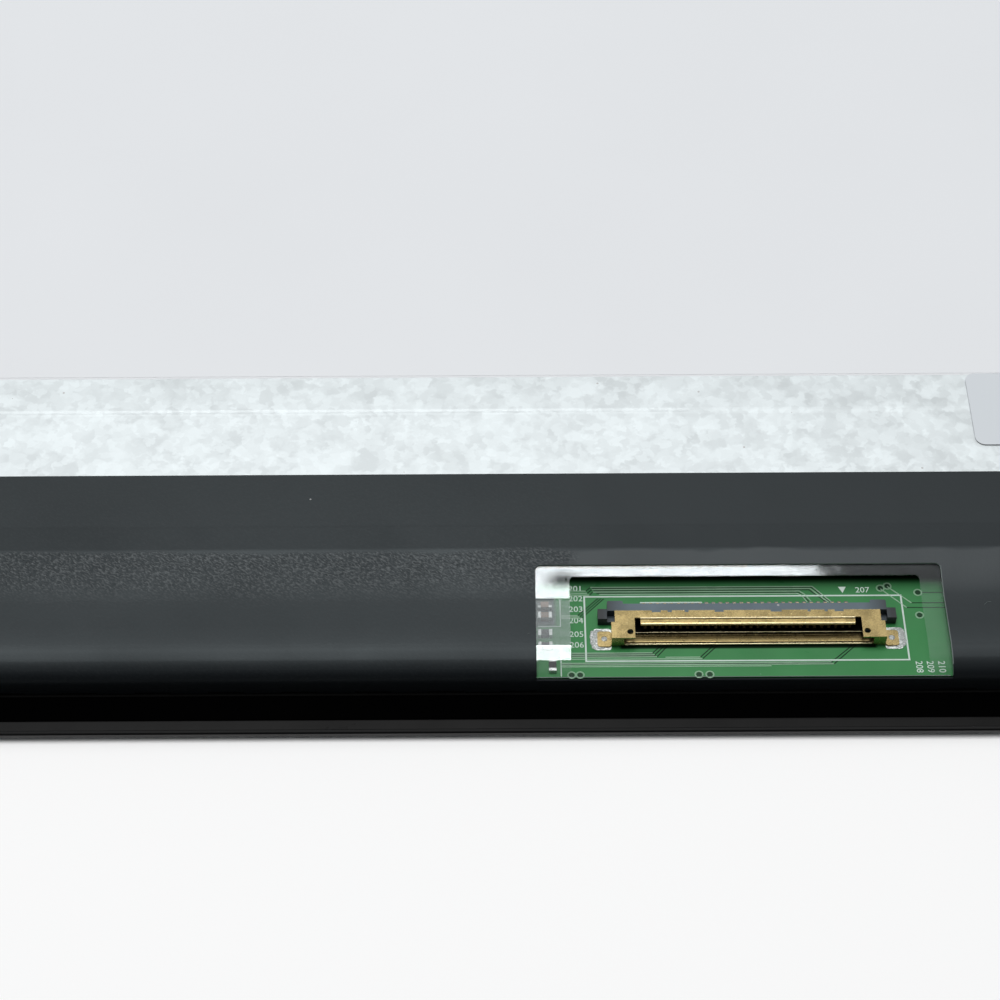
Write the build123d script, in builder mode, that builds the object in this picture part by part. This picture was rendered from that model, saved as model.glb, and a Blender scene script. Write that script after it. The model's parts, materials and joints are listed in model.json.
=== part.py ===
from build123d import *
import os

os.makedirs("parts", exist_ok=True)

# A 14.0 inch laptop touchscreen assembly, lying face down on its cover glass.
# Z points out of the rear, Y from the connector edge towards the camera edge.
# Names ending in _low and _high are distances from the bottom edge of the glass.
# Names starting with z_ are heights over the face that it lies on.

# Cover glass, set out round the active area
glass_margin = 8.9
glass_margin_high = 8.45
glass_t = 0.7
glass_corner_r = 5.0
glass_chamfer = 0.1

# Active area
active_w = 309.4
active_h = 173.95
active_low = 19.6

# Layers from the glass up, each lying on the one before it
print_t = 0.02
touch_t = 0.1
bond_t = 0.13
polarizer_t = 0.12
filter_t = 0.3
array_t = 0.3
tape_t = 0.05
shelf_t = 0.25
sheet_t = 0.12
guide_t = 0.75
reflector_t = 0.22
plate_t = 0.3
film_t = 0.1
back_sheet_t = 0.06
label_t = 0.1

# Margins of the layers round the active area
cell_margin = 2.0
cell_margin_low = 1.6
ledge = 3.4
polarizer_margin = 0.5
touch_margin = 2.8
shelf_margin = 0.7
sheet_margin = 3.2
print_margin = 0.3
print_inset = 0.3
border_tape_in = 1.1
border_tape_w = 2.0
border_tape_t = 0.1

# Rear plate and mould frame
plate_margin = 5.6
plate_margin_high = 4.6
plate_low = 16.1
plate_bend_r = 0.5
plate_relief = 1.6
flange_h = 2.3
bead_w = 0.4
bead_floor_w = 0.08
bead_depth = 0.035
bead_low = 27.43
bead_end = 10.3
bead_stop = 3.0
frame_clear = 0.05
frame_wall = 1.4
frame_low = 14.0
frame_bar = 1.5
frame_bar_rise = 0.2
gasket_w = 1.2
lug_w = 4.0
lug_h = 0.8
lug_z = 1.75
lug_clear = 0.1
lug_flush = 0.05
lug_count_x = 6
lug_count_y = 4
lug_pitch = 42.0

# Back sheet and blank label
back_sheet_low = 31.05
back_sheet_inset = 7.0
back_sheet_corner_r = 2.0
label_shift = 18.15
label_w = 48.0
label_low = 23.7
label_gap = 0.1
label_corner_r = 0.75

# Light bar and its tail
led_count = 48
led_w = 3.0
led_deep = 0.8
led_h = 0.72
led_flex_t = 0.1
led_flex_deep = 2.0
led_gap = 0.1
led_tail_shift = 32.0
led_tail_w = 9.0
led_tail_reach = 3.0
led_tail_clear = 0.2

# Driver chips and source flexes on the glass ledge
source_count = 4
source_flex_w = 46.0
source_flex_t = 0.1
source_bond = 0.8
source_reach = 2.0
source_corner_r = 0.1
driver_w = 22.0
driver_deep = 1.5
driver_h = 0.25
driver_gap = 0.1

# Control board
board_end = 10.3
board_deep = 9.75
board_t = 0.7
board_low = 3.65
board_corner_r = 0.8
pad_end = 2.0
pad_deep = 5.6
pad_inset = 0.6
touch_shift = -134.5
touch_flex_w = 18.0
touch_flex_t = 0.1
touch_flex_rise = 1.2
touch_flex_reach = 1.8
touch_flex_gap = 0.5

# Cover film: outer profile above the glass's bottom edge
film_over = 1.5
film_high = 21.06
film_crease_low = 14.0
film_crease_drop = 0.08
film_plateau_low = 9.9
film_plateau_z = 3.08
film_shoulder_low = 5.85
film_bend_low = 4.85
film_bend_z = 2.95
film_corner_low = 3.5
film_corner_z = 2.45
film_corner_r = 0.9
film_edge_low = 3.33
film_edge_z = 0.83
film_crease_r = 2.0
film_tooth_pitch = 5.15
film_tooth_gap = 2.55
film_tooth_h = 0.12
film_tooth_deep = 0.4
glue_t = 0.02

# Window in the cover film and the clear film behind it
connector_inset = 100.3
window_w = 29.1
window_shift = -0.45
window_high = 12.65
window_low_z = 2.0
window_corner_r = 0.4
clear_lap = 1.6
clear_lap_high = 1.0
clear_cut_w = 25.1
clear_cut_shift = -0.02
clear_cut_high = 11.78
clear_cut_corner_r = 0.35
clear_corner_r = 0.8

# Connector housing, set out from the front face of the shell
contact_count = 30
contact_pitch = 0.5
connector_low = 6.3
housing_h = 0.93
housing_floor = 0.1
housing_post_in = 8.1
housing_side = 9.35
bar_back = 3.12
cavity_back = 1.85
ear_in = 8.79
ear_out = 9.93
ear_front = 2.5
ear_back = 3.38
ear_tip_out = 10.6
ear_tip_in = 9.95
ear_web_h = 0.34
ear_tip_front = 1.93
ear_tip_back = 2.82
ear_tip_drop = 0.2
ear_corner_r = 0.12
post_hole = 0.22
post_hole_deep = 0.66

# Contacts: a spring in the mouth, a strip through the bar and a tail on its land
contact_w = 0.2
contact_t = 0.1
contact_clear = 0.03
contact_front = 1.36
contact_crest = 1.54
contact_crest_h = 0.45
contact_tip_h = 0.3
contact_strip_h = 0.16
contact_tail = 0.62

# Shell of the connector
shell_t = 0.12
shell_deep = 2.42
shell_back_half = 9.42
shell_front_half = 9.68
shell_step = 1.42
shell_fold_r = 0.1
lip_start = 1.78
lip_jog = 0.1
lip_drop = 0.1
lip_front = 1.26
lip_r = 0.14
lip_h = 0.76
slit_in = 7.6
slit_out = 8.02
shell_hole_r = 0.225
shell_hole_x = 8.36
shell_hole_low = 0.55
notch_deep = 0.16
notches = [
    (-6.46, 0.64),
    (-5.5, 0.29),
    (-4.3, 0.28),
    (-1.99, 0.64),
    (2.05, 0.78),
    (4.39, 0.21),
    (5.6, 0.21),
    (6.52, 0.64),
]
front_wall_in = 8.8
front_wall_gap = 0.08
tray_half = 8.85
tray_inset = 0.08
tray_h = 0.32
tray_back = 0.93
tray_skirt_h = 0.06
tray_curl = 0.1
tray_fall = 0.07
foot_w = 0.98
foot_deep = 1.32
foot_low = -0.07
foot_corner_r = 0.2
foot_hole_r = 0.22

# Solder lands
land_t = 0.03
land_w = 1.24
land_deep = 1.86
land_low = -0.3
pin_land_w = 0.28
pin_land_deep = 0.68

# Print on the board
print_line = 0.12
print_box_w = 22.85
print_box_shift = -0.13
print_box_low = 4.98
print_box_high = 10.82
print_h = 0.015
mark_x = 7.09
mark_low = 11.0
mark_size = 0.55

# Small parts on the board
chip_len = 1.0
chip_deep = 0.5
chip_h = 0.45
chip_end = 0.22
chip_end_proud = 0.015
timing_shift = -80.0
timing_size = 6.0
power_shift = -30.0
power_size = 4.0
touch_chip_size = 5.0
chip_body_h = 0.68
chip_chamfer = 0.12
resistor_h = 0.3
chip_low = 8.0
coil_shift = -41.5
coil_size = 3.0
coil_h = 0.72
coil_corner_r = 0.6
row_count = 6
row_pitch = 1.9
window_chip_x = -14.35
window_caps_low = [9.77, 8.84]
window_resistors_low = [7.4, 6.3]
window_upright_x = -13.87
window_upright_low = 4.55

# Heights worked out from the layers
z_glass = glass_t
z_print = z_glass + print_t
z_touch = z_print + touch_t
z_bond = z_touch + bond_t
z_front_polarizer = z_bond + polarizer_t
z_filter = z_front_polarizer + filter_t
z_array = z_filter + array_t
z_tape = z_array + tape_t
z_shelf = z_tape + shelf_t
z_sheets = z_shelf + 3 * sheet_t
z_guide = z_sheets + guide_t
z_reflector = z_guide + reflector_t
z_plate = z_reflector + plate_t
z_board = z_filter + board_t
z_land = z_board + land_t
z_housing = z_board + housing_h
z_shell = z_housing + shell_t

# Places worked out from the driving sizes
active_high = active_low + active_h
glass_w = active_w + 2 * glass_margin
glass_h = active_high + glass_margin_high
y_edge = -glass_h / 2
cell_w = active_w + 2 * cell_margin
cell_high = active_high + cell_margin
filter_low = active_low - cell_margin_low
array_low = filter_low - ledge
plate_w = active_w + 2 * plate_margin
plate_high = active_high + plate_margin_high
frame_w = plate_w - 2 * (plate_t + frame_clear)
frame_high = plate_high - plate_t - frame_clear
frame_inner_w = frame_w - 2 * frame_wall
frame_inner_high = frame_high - frame_wall
shelf_w = active_w + 2 * shelf_margin
shelf_low = active_low - shelf_margin
shelf_high = active_high + shelf_margin
sheet_w = active_w + 2 * sheet_margin
sheet_high = min(active_high + sheet_margin, frame_inner_high - frame_clear)
bar_high = frame_low + frame_bar
led_low = bar_high + led_gap
guide_low = led_low + led_deep + led_gap
reflector_low = led_low + led_flex_deep + led_gap
board_w = plate_w - 2 * board_end
board_high = board_low + board_deep
film_w = board_w + 2 * film_over
connector_x = plate_w / 2 - connector_inset
led_tail_x = connector_x + led_tail_shift
touch_x = connector_x + touch_shift
timing_x = connector_x + timing_shift
power_x = connector_x + power_shift
coil_x = connector_x + coil_shift
source_pitch = board_w / source_count
source_low = board_high - source_reach
source_high = array_low + source_bond
source_xs = [(i - (source_count - 1) / 2) * source_pitch for i in range(source_count)]
contact_xs = [connector_x + (i - (contact_count - 1) / 2) * contact_pitch for i in range(contact_count)]
bar_back_low = connector_low + bar_back
film_z = z_plate + film_t

# Cover glass with softened edges
with BuildPart() as cover_glass:
    with BuildSketch():
        RectangleRounded(glass_w, glass_h, glass_corner_r)
    extrude(amount=glass_t)
    chamfer(cover_glass.faces().group_by(Axis.Z)[0].edges(), length=glass_chamfer)
    chamfer(cover_glass.faces().group_by(Axis.Z)[-1].edges(), length=glass_chamfer)
cover_glass.part.label = "cover_glass"
export_step(cover_glass.part, "parts/cover_glass.step")

# Black printed border on the inner face of the glass
with BuildPart() as border_print:
    with BuildSketch(Plane.XY.offset(z_glass)):
        RectangleRounded(glass_w - 2 * print_inset, glass_h - 2 * print_inset, glass_corner_r - print_inset)
        with Locations((0, y_edge + (active_low + active_high) / 2)):
            Rectangle(active_w + 2 * print_margin, active_h + 2 * print_margin, mode=Mode.SUBTRACT)
    extrude(amount=print_t)
border_print.part.label = "border_print"
export_step(border_print.part, "parts/border_print.step")

# Black mounting tape round the border, outside the frame and the board
tape_out = 2 * border_tape_in
tape_in = 2 * (border_tape_in + border_tape_w)
with BuildPart() as border_tape:
    with BuildSketch(Plane.XY.offset(z_print)):
        RectangleRounded(glass_w - tape_out, glass_h - tape_out, glass_corner_r - border_tape_in)
        RectangleRounded(
            glass_w - tape_in, glass_h - tape_in, glass_corner_r - border_tape_in - border_tape_w, mode=Mode.SUBTRACT
        )
    extrude(amount=border_tape_t)
border_tape.part.label = "border_tape"
export_step(border_tape.part, "parts/border_tape.step")

# Touch sensor film bonded to the glass
touch_low = array_low
touch_high = active_high + touch_margin
with BuildPart() as touch_sensor:
    with BuildSketch(Plane.XY.offset(z_print)):
        with Locations((0, y_edge + (touch_low + touch_high) / 2)):
            Rectangle(active_w + 2 * touch_margin, touch_high - touch_low)
    extrude(amount=touch_t)
touch_sensor.part.label = "touch_sensor"
export_step(touch_sensor.part, "parts/touch_sensor.step")

# Clear adhesive between the touch sensor and the display cell
polarizer_w = cell_w - 2 * polarizer_margin
polarizer_low = filter_low + polarizer_margin
polarizer_high = cell_high - polarizer_margin
with BuildPart() as optical_adhesive:
    with BuildSketch(Plane.XY.offset(z_touch)):
        with Locations((0, y_edge + (polarizer_low + polarizer_high) / 2)):
            Rectangle(polarizer_w, polarizer_high - polarizer_low)
    extrude(amount=bond_t)
optical_adhesive.part.label = "optical_adhesive"
export_step(optical_adhesive.part, "parts/optical_adhesive.step")

# Front polarizer
with BuildPart() as front_polarizer:
    with BuildSketch(Plane.XY.offset(z_bond)):
        with Locations((0, y_edge + (polarizer_low + polarizer_high) / 2)):
            Rectangle(polarizer_w, polarizer_high - polarizer_low)
    extrude(amount=polarizer_t)
front_polarizer.part.label = "front_polarizer"
export_step(front_polarizer.part, "parts/front_polarizer.step")

# Colour filter glass
with BuildPart() as color_filter_glass:
    with BuildSketch(Plane.XY.offset(z_front_polarizer)):
        with Locations((0, y_edge + (filter_low + cell_high) / 2)):
            Rectangle(cell_w, cell_high - filter_low)
    extrude(amount=filter_t)
color_filter_glass.part.label = "color_filter_glass"
export_step(color_filter_glass.part, "parts/color_filter_glass.step")

# Array glass, longer than the filter by the ledge that carries the driver chips
with BuildPart() as array_glass:
    with BuildSketch(Plane.XY.offset(z_filter)):
        with Locations((0, y_edge + (array_low + cell_high) / 2)):
            Rectangle(cell_w, cell_high - array_low)
    extrude(amount=array_t)
array_glass.part.label = "array_glass"
export_step(array_glass.part, "parts/array_glass.step")

# Rear polarizer, inside the opening of the mould frame's shelf
rear_polarizer_w = shelf_w - 2 * frame_clear
rear_polarizer_low = shelf_low + frame_clear
rear_polarizer_high = shelf_high - frame_clear
with BuildPart() as rear_polarizer:
    with BuildSketch(Plane.XY.offset(z_array)):
        with Locations((0, y_edge + (rear_polarizer_low + rear_polarizer_high) / 2)):
            Rectangle(rear_polarizer_w, rear_polarizer_high - rear_polarizer_low)
    extrude(amount=polarizer_t)
rear_polarizer.part.label = "rear_polarizer"
export_step(rear_polarizer.part, "parts/rear_polarizer.step")

# Driver chips on the front face of the glass ledge
driver_y = y_edge + filter_low - driver_deep / 2 - driver_gap
with BuildPart() as driver_chips:
    with BuildSketch(Plane.XY.offset(z_filter)):
        with Locations(*[(x, driver_y) for x in source_xs]):
            Rectangle(driver_w, driver_deep)
    extrude(amount=-driver_h)
driver_chips.part.label = "driver_chips"
export_step(driver_chips.part, "parts/driver_chips.step")

# Flexes that join the glass ledge to the control board
with BuildPart() as source_flexes:
    with BuildSketch(Plane.XY.offset(z_filter)):
        with Locations(*[(x, y_edge + (source_low + source_high) / 2) for x in source_xs]):
            RectangleRounded(source_flex_w, source_high - source_low, source_corner_r)
    extrude(amount=-source_flex_t)
source_flexes.part.label = "source_flexes"
export_step(source_flexes.part, "parts/source_flexes.step")

# Tape ring that holds the display cell on the shelf
tape_w = cell_w - 2 * frame_clear
tape_low = shelf_low - gasket_w
tape_high = cell_high - frame_clear
with BuildPart() as cell_tape:
    with BuildSketch(Plane.XY.offset(z_array)):
        with Locations((0, y_edge + (tape_low + tape_high) / 2)):
            Rectangle(tape_w, tape_high - tape_low)
        with Locations((0, y_edge + (shelf_low + shelf_high) / 2)):
            Rectangle(shelf_w, shelf_high - shelf_low, mode=Mode.SUBTRACT)
    extrude(amount=tape_t)
cell_tape.part.label = "cell_tape"
export_step(cell_tape.part, "parts/cell_tape.step")

# Mould frame: walls on three sides with snap lugs, a shelf all round and a raised bar along the board
lug_reach = frame_clear + plate_t - lug_flush
lug_mid_y = y_edge + (plate_low + plate_high) / 2
with BuildPart() as mould_frame:
    with BuildSketch(Plane.XY.offset(z_bond)):
        with Locations((0, y_edge + (frame_low + frame_high) / 2)):
            Rectangle(frame_w, frame_high - frame_low)
    extrude(amount=z_reflector - z_bond)
    with BuildSketch(Plane.XY.offset(z_reflector)):
        with Locations((0, y_edge + frame_low + frame_bar / 2)):
            Rectangle(frame_w, frame_bar)
    extrude(amount=frame_bar_rise)
    with BuildSketch(Plane.XY.offset(z_bond)):
        with Locations((0, y_edge + (frame_low + frame_inner_high) / 2)):
            Rectangle(frame_inner_w, frame_inner_high - frame_low)
    extrude(amount=z_tape - z_bond, mode=Mode.SUBTRACT)
    with BuildSketch(Plane.XY.offset(z_tape)):
        with Locations((0, y_edge + (shelf_low + shelf_high) / 2)):
            Rectangle(shelf_w, shelf_high - shelf_low)
    extrude(amount=shelf_t, mode=Mode.SUBTRACT)
    with BuildSketch(Plane.XY.offset(z_reflector - led_flex_t)):
        with Locations((led_tail_x, y_edge + frame_low + frame_bar / 2)):
            Rectangle(led_tail_w + 2 * led_tail_clear, frame_bar)
    extrude(amount=led_flex_t + frame_bar_rise, mode=Mode.SUBTRACT)
    with BuildSketch(Plane.YZ.offset(-frame_w / 2 - lug_reach)):
        with Locations((lug_mid_y, z_bond + lug_z)):
            with GridLocations(lug_pitch, 0, lug_count_y, 1):
                Rectangle(lug_w, lug_h)
    extrude(amount=frame_w + 2 * lug_reach)
    with BuildSketch(Plane.XZ.offset(-(y_edge + frame_high + lug_reach))):
        with Locations((0, z_bond + lug_z)):
            with GridLocations(lug_pitch, 0, lug_count_x, 1):
                Rectangle(lug_w, lug_h)
    extrude(amount=frame_wall)
    with BuildSketch(Plane.XY.offset(z_shelf)):
        with Locations((0, y_edge + (bar_high + frame_inner_high) / 2)):
            Rectangle(frame_inner_w, frame_inner_high - bar_high)
    extrude(amount=z_reflector - z_shelf, mode=Mode.SUBTRACT)
mould_frame.part.label = "mould_frame"
export_step(mould_frame.part, "parts/mould_frame.step")

# Black gasket between the glass and the walls of the frame
with BuildPart() as frame_gasket:
    with BuildSketch(Plane.XY.offset(z_print)):
        with Locations((0, y_edge + (frame_low + frame_high) / 2)):
            Rectangle(frame_w, frame_high - frame_low)
        with Locations((0, y_edge + (frame_low + frame_high - gasket_w) / 2)):
            Rectangle(frame_w - 2 * gasket_w, frame_high - gasket_w - frame_low, mode=Mode.SUBTRACT)
    extrude(amount=z_bond - z_print)
frame_gasket.part.label = "frame_gasket"
export_step(frame_gasket.part, "parts/frame_gasket.step")

# Two prism sheets and the diffuser, lying on the shelf
sheet_low = guide_low
with BuildPart() as upper_prism_sheet:
    with BuildSketch(Plane.XY.offset(z_shelf)):
        with Locations((0, y_edge + (sheet_low + sheet_high) / 2)):
            Rectangle(sheet_w, sheet_high - sheet_low)
    extrude(amount=sheet_t)
upper_prism_sheet.part.label = "upper_prism_sheet"
export_step(upper_prism_sheet.part, "parts/upper_prism_sheet.step")

with BuildPart() as lower_prism_sheet:
    with BuildSketch(Plane.XY.offset(z_shelf + sheet_t)):
        with Locations((0, y_edge + (sheet_low + sheet_high) / 2)):
            Rectangle(sheet_w, sheet_high - sheet_low)
    extrude(amount=sheet_t)
lower_prism_sheet.part.label = "lower_prism_sheet"
export_step(lower_prism_sheet.part, "parts/lower_prism_sheet.step")

with BuildPart() as diffuser_sheet:
    with BuildSketch(Plane.XY.offset(z_shelf + 2 * sheet_t)):
        with Locations((0, y_edge + (sheet_low + sheet_high) / 2)):
            Rectangle(sheet_w, sheet_high - sheet_low)
    extrude(amount=sheet_t)
diffuser_sheet.part.label = "diffuser_sheet"
export_step(diffuser_sheet.part, "parts/diffuser_sheet.step")

# Light guide
with BuildPart() as light_guide:
    with BuildSketch(Plane.XY.offset(z_sheets)):
        with Locations((0, y_edge + (guide_low + sheet_high) / 2)):
            Rectangle(sheet_w, sheet_high - guide_low)
    extrude(amount=guide_t)
light_guide.part.label = "light_guide"
export_step(light_guide.part, "parts/light_guide.step")

# Reflector sheet, stopping short of the light bar's flex
with BuildPart() as reflector_sheet:
    with BuildSketch(Plane.XY.offset(z_guide)):
        with Locations((0, y_edge + (reflector_low + sheet_high) / 2)):
            Rectangle(sheet_w, sheet_high - reflector_low)
    extrude(amount=reflector_t)
reflector_sheet.part.label = "reflector_sheet"
export_step(reflector_sheet.part, "parts/reflector_sheet.step")

# Flex of the light bar, with a tail that drops to the board
tail_z = z_board + led_flex_t
tail_top_low = frame_low - led_tail_clear
tail_foot_low = board_high - led_tail_reach
with BuildPart() as led_flex:
    with BuildSketch(Plane.XY.offset(z_reflector)):
        with Locations((0, y_edge + led_low + led_flex_deep / 2)):
            Rectangle(sheet_w, led_flex_deep)
    extrude(amount=-led_flex_t)
    with BuildSketch(Plane.YZ.offset(led_tail_x - led_tail_w / 2)):
        with BuildLine():
            top = Line((y_edge + led_low, z_reflector), (y_edge + tail_top_low, z_reflector))
            drop = Line(top @ 1, (y_edge + board_high - led_tail_reach / 2, tail_z))
            foot = Line(drop @ 1, (y_edge + tail_foot_low, tail_z))
            end = Line(foot @ 1, (y_edge + tail_foot_low, z_board))
            under = Line(end @ 1, (y_edge + board_high - led_tail_reach / 2, z_board))
            back = Line(under @ 1, (y_edge + tail_top_low, z_reflector - led_flex_t))
            inner = Line(back @ 1, (y_edge + led_low, z_reflector - led_flex_t))
            Line(inner @ 1, top @ 0)
        make_face()
    extrude(amount=led_tail_w)
led_flex.part.label = "led_flex"
export_step(led_flex.part, "parts/led_flex.step")

# Row of side-lit lamps that faces the light guide
led_pitch = sheet_w / led_count
with BuildPart() as leds:
    with BuildSketch(Plane.XY.offset(z_reflector - led_flex_t)):
        with Locations((0, y_edge + led_low + led_deep / 2)):
            with GridLocations(led_pitch, 0, led_count, 1):
                Rectangle(led_w, led_deep)
    extrude(amount=-led_h)
leds.part.label = "leds"
export_step(leds.part, "parts/leds.step")

# Rear plate: a stamped steel tray, open along the board, with windows for the snap lugs
bead_left = bead_end - plate_w / 2
bead_right = connector_x - bead_stop
with BuildPart() as rear_plate:
    with BuildSketch(Plane.XY.offset(z_plate - flange_h)):
        with Locations((0, y_edge + (plate_low + plate_high) / 2)):
            Rectangle(plate_w, plate_high - plate_low)
    extrude(amount=flange_h)
    rim = rear_plate.faces().sort_by(Axis.Z)[-1].edges()
    fillet(rim.filter_by(Axis.Y) + rim.filter_by(Axis.X).sort_by(Axis.Y)[-1:], radius=plate_bend_r)
    with BuildSketch(Plane.XY.offset(z_plate - flange_h)):
        with Locations((0, y_edge + (plate_low + plate_high - plate_t) / 2)):
            Rectangle(plate_w - 2 * plate_t, plate_high - plate_t - plate_low)
    extrude(amount=flange_h - plate_t, mode=Mode.SUBTRACT)
    with BuildSketch(Plane.XY.offset(z_plate - flange_h)):
        with Locations((-plate_w / 2, y_edge + plate_high), (plate_w / 2, y_edge + plate_high)):
            Rectangle(2 * plate_relief, 2 * plate_relief)
    extrude(amount=flange_h, mode=Mode.SUBTRACT)
    with BuildSketch(Plane.YZ.offset(-plate_w / 2)):
        with Locations((lug_mid_y, z_bond + lug_z)):
            with GridLocations(lug_pitch, 0, lug_count_y, 1):
                Rectangle(lug_w + 2 * lug_clear, lug_h + 2 * lug_clear)
    extrude(amount=plate_w, mode=Mode.SUBTRACT)
    with BuildSketch(Plane.XZ.offset(-(y_edge + plate_high))):
        with Locations((0, z_bond + lug_z)):
            with GridLocations(lug_pitch, 0, lug_count_x, 1):
                Rectangle(lug_w + 2 * lug_clear, lug_h + 2 * lug_clear)
    extrude(amount=plate_t, mode=Mode.SUBTRACT)
    with BuildSketch(Plane.XY.offset(z_plate)):
        with Locations(((bead_left + bead_right) / 2, y_edge + bead_low)):
            SlotOverall(bead_right - bead_left, bead_w)
    with BuildSketch(Plane.XY.offset(z_plate - bead_depth)):
        with Locations(((bead_left + bead_right) / 2, y_edge + bead_low)):
            SlotOverall(bead_right - bead_left - bead_w, bead_floor_w)
    loft(mode=Mode.SUBTRACT)
rear_plate.part.label = "rear_plate"
export_step(rear_plate.part, "parts/rear_plate.step")

# White back sheet glued on the plate
back_sheet_high = plate_high - back_sheet_inset
with BuildPart() as back_sheet:
    with BuildSketch(Plane.XY.offset(z_plate)):
        with Locations((0, y_edge + (back_sheet_low + back_sheet_high) / 2)):
            RectangleRounded(plate_w - 2 * back_sheet_inset, back_sheet_high - back_sheet_low, back_sheet_corner_r)
    extrude(amount=back_sheet_t)
back_sheet.part.label = "back_sheet"
export_step(back_sheet.part, "parts/back_sheet.step")

# Blank label between the cover film and the back sheet
label_x = connector_x + label_shift
label_high = back_sheet_low - label_gap
with BuildPart() as blank_label:
    with BuildSketch(Plane.XY.offset(z_plate)):
        with Locations((label_x + label_w / 2, y_edge + (label_low + label_high) / 2)):
            RectangleRounded(label_w, label_high - label_low, label_corner_r)
    extrude(amount=label_t)
blank_label.part.label = "blank_label"
export_step(blank_label.part, "parts/blank_label.step")

# Foam strip that carries the board on the glass
with BuildPart() as board_pad:
    with BuildSketch(Plane.XY.offset(z_print)):
        with Locations((0, y_edge + board_low + pad_inset + pad_deep / 2)):
            Rectangle(board_w - 2 * pad_end, pad_deep)
    extrude(amount=z_filter - z_print)
board_pad.part.label = "board_pad"
export_step(board_pad.part, "parts/board_pad.step")

# Touch sensor's flex: along the glass, then up to the underside of the board
touch_flex_low = board_low + pad_inset + pad_deep + touch_flex_gap
with BuildPart() as touch_flex:
    with BuildSketch(Plane.YZ.offset(touch_x - touch_flex_w / 2)):
        with BuildLine():
            outer = Line((y_edge + touch_low, z_print), (y_edge + touch_flex_low + touch_flex_reach, z_print))
            climb = Line(outer @ 1, (y_edge + touch_flex_low + touch_flex_rise, z_filter - touch_flex_t))
            reach = Line(climb @ 1, (y_edge + touch_flex_low, z_filter - touch_flex_t))
            tip = Line(reach @ 1, (y_edge + touch_flex_low, z_filter))
            over = Line(tip @ 1, (y_edge + touch_flex_low + touch_flex_rise, z_filter))
            fall = Line(over @ 1, (y_edge + touch_flex_low + touch_flex_reach, z_print + touch_flex_t))
            inside = Line(fall @ 1, (y_edge + touch_low, z_print + touch_flex_t))
            Line(inside @ 1, outer @ 0)
        make_face()
    extrude(amount=touch_flex_w)
touch_flex.part.label = "touch_flex"
export_step(touch_flex.part, "parts/touch_flex.step")

# Control board
with BuildPart() as control_board:
    with BuildSketch(Plane.XY.offset(z_filter)):
        with Locations((0, y_edge + (board_low + board_high) / 2)):
            RectangleRounded(board_w, board_deep, board_corner_r)
    extrude(amount=board_t)
control_board.part.label = "control_board"
export_step(control_board.part, "parts/control_board.step")

# Printed outline of the connector and the mark of its first contact
print_box_mid = y_edge + (print_box_low + print_box_high) / 2
with BuildPart() as board_print:
    with BuildSketch(Plane.XY.offset(z_board)):
        with Locations((connector_x + print_box_shift, print_box_mid)):
            Rectangle(print_box_w, print_box_high - print_box_low)
            Rectangle(
                print_box_w - 2 * print_line, print_box_high - print_box_low - 2 * print_line, mode=Mode.SUBTRACT
            )
        with BuildLine():
            Polyline(
                (connector_x + mark_x, y_edge + mark_low),
                (connector_x + mark_x + mark_size / 2, y_edge + mark_low + mark_size),
                (connector_x + mark_x - mark_size / 2, y_edge + mark_low + mark_size),
                close=True,
            )
        make_face()
    extrude(amount=print_h)
board_print.part.label = "board_print"
export_step(board_print.part, "parts/board_print.step")

# Solder lands under the connector's feet and contact tails
foot_x = shell_front_half + foot_w / 2
foot_y = y_edge + connector_low + foot_low + foot_deep / 2
land_x = foot_x + (land_w - foot_w) / 2
land_y = y_edge + connector_low + land_low + land_deep / 2
tail_start = y_edge + bar_back_low + contact_clear
with BuildPart() as solder_lands:
    with BuildSketch(Plane.XY.offset(z_board)):
        with Locations((connector_x - land_x, land_y), (connector_x + land_x, land_y)):
            RectangleRounded(land_w, land_deep, foot_corner_r)
        with Locations(*[(x, tail_start + contact_t + pin_land_deep / 2) for x in contact_xs]):
            Rectangle(pin_land_w, pin_land_deep)
    extrude(amount=land_t)
solder_lands.part.label = "solder_lands"
export_step(solder_lands.part, "parts/solder_lands.step")

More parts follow.
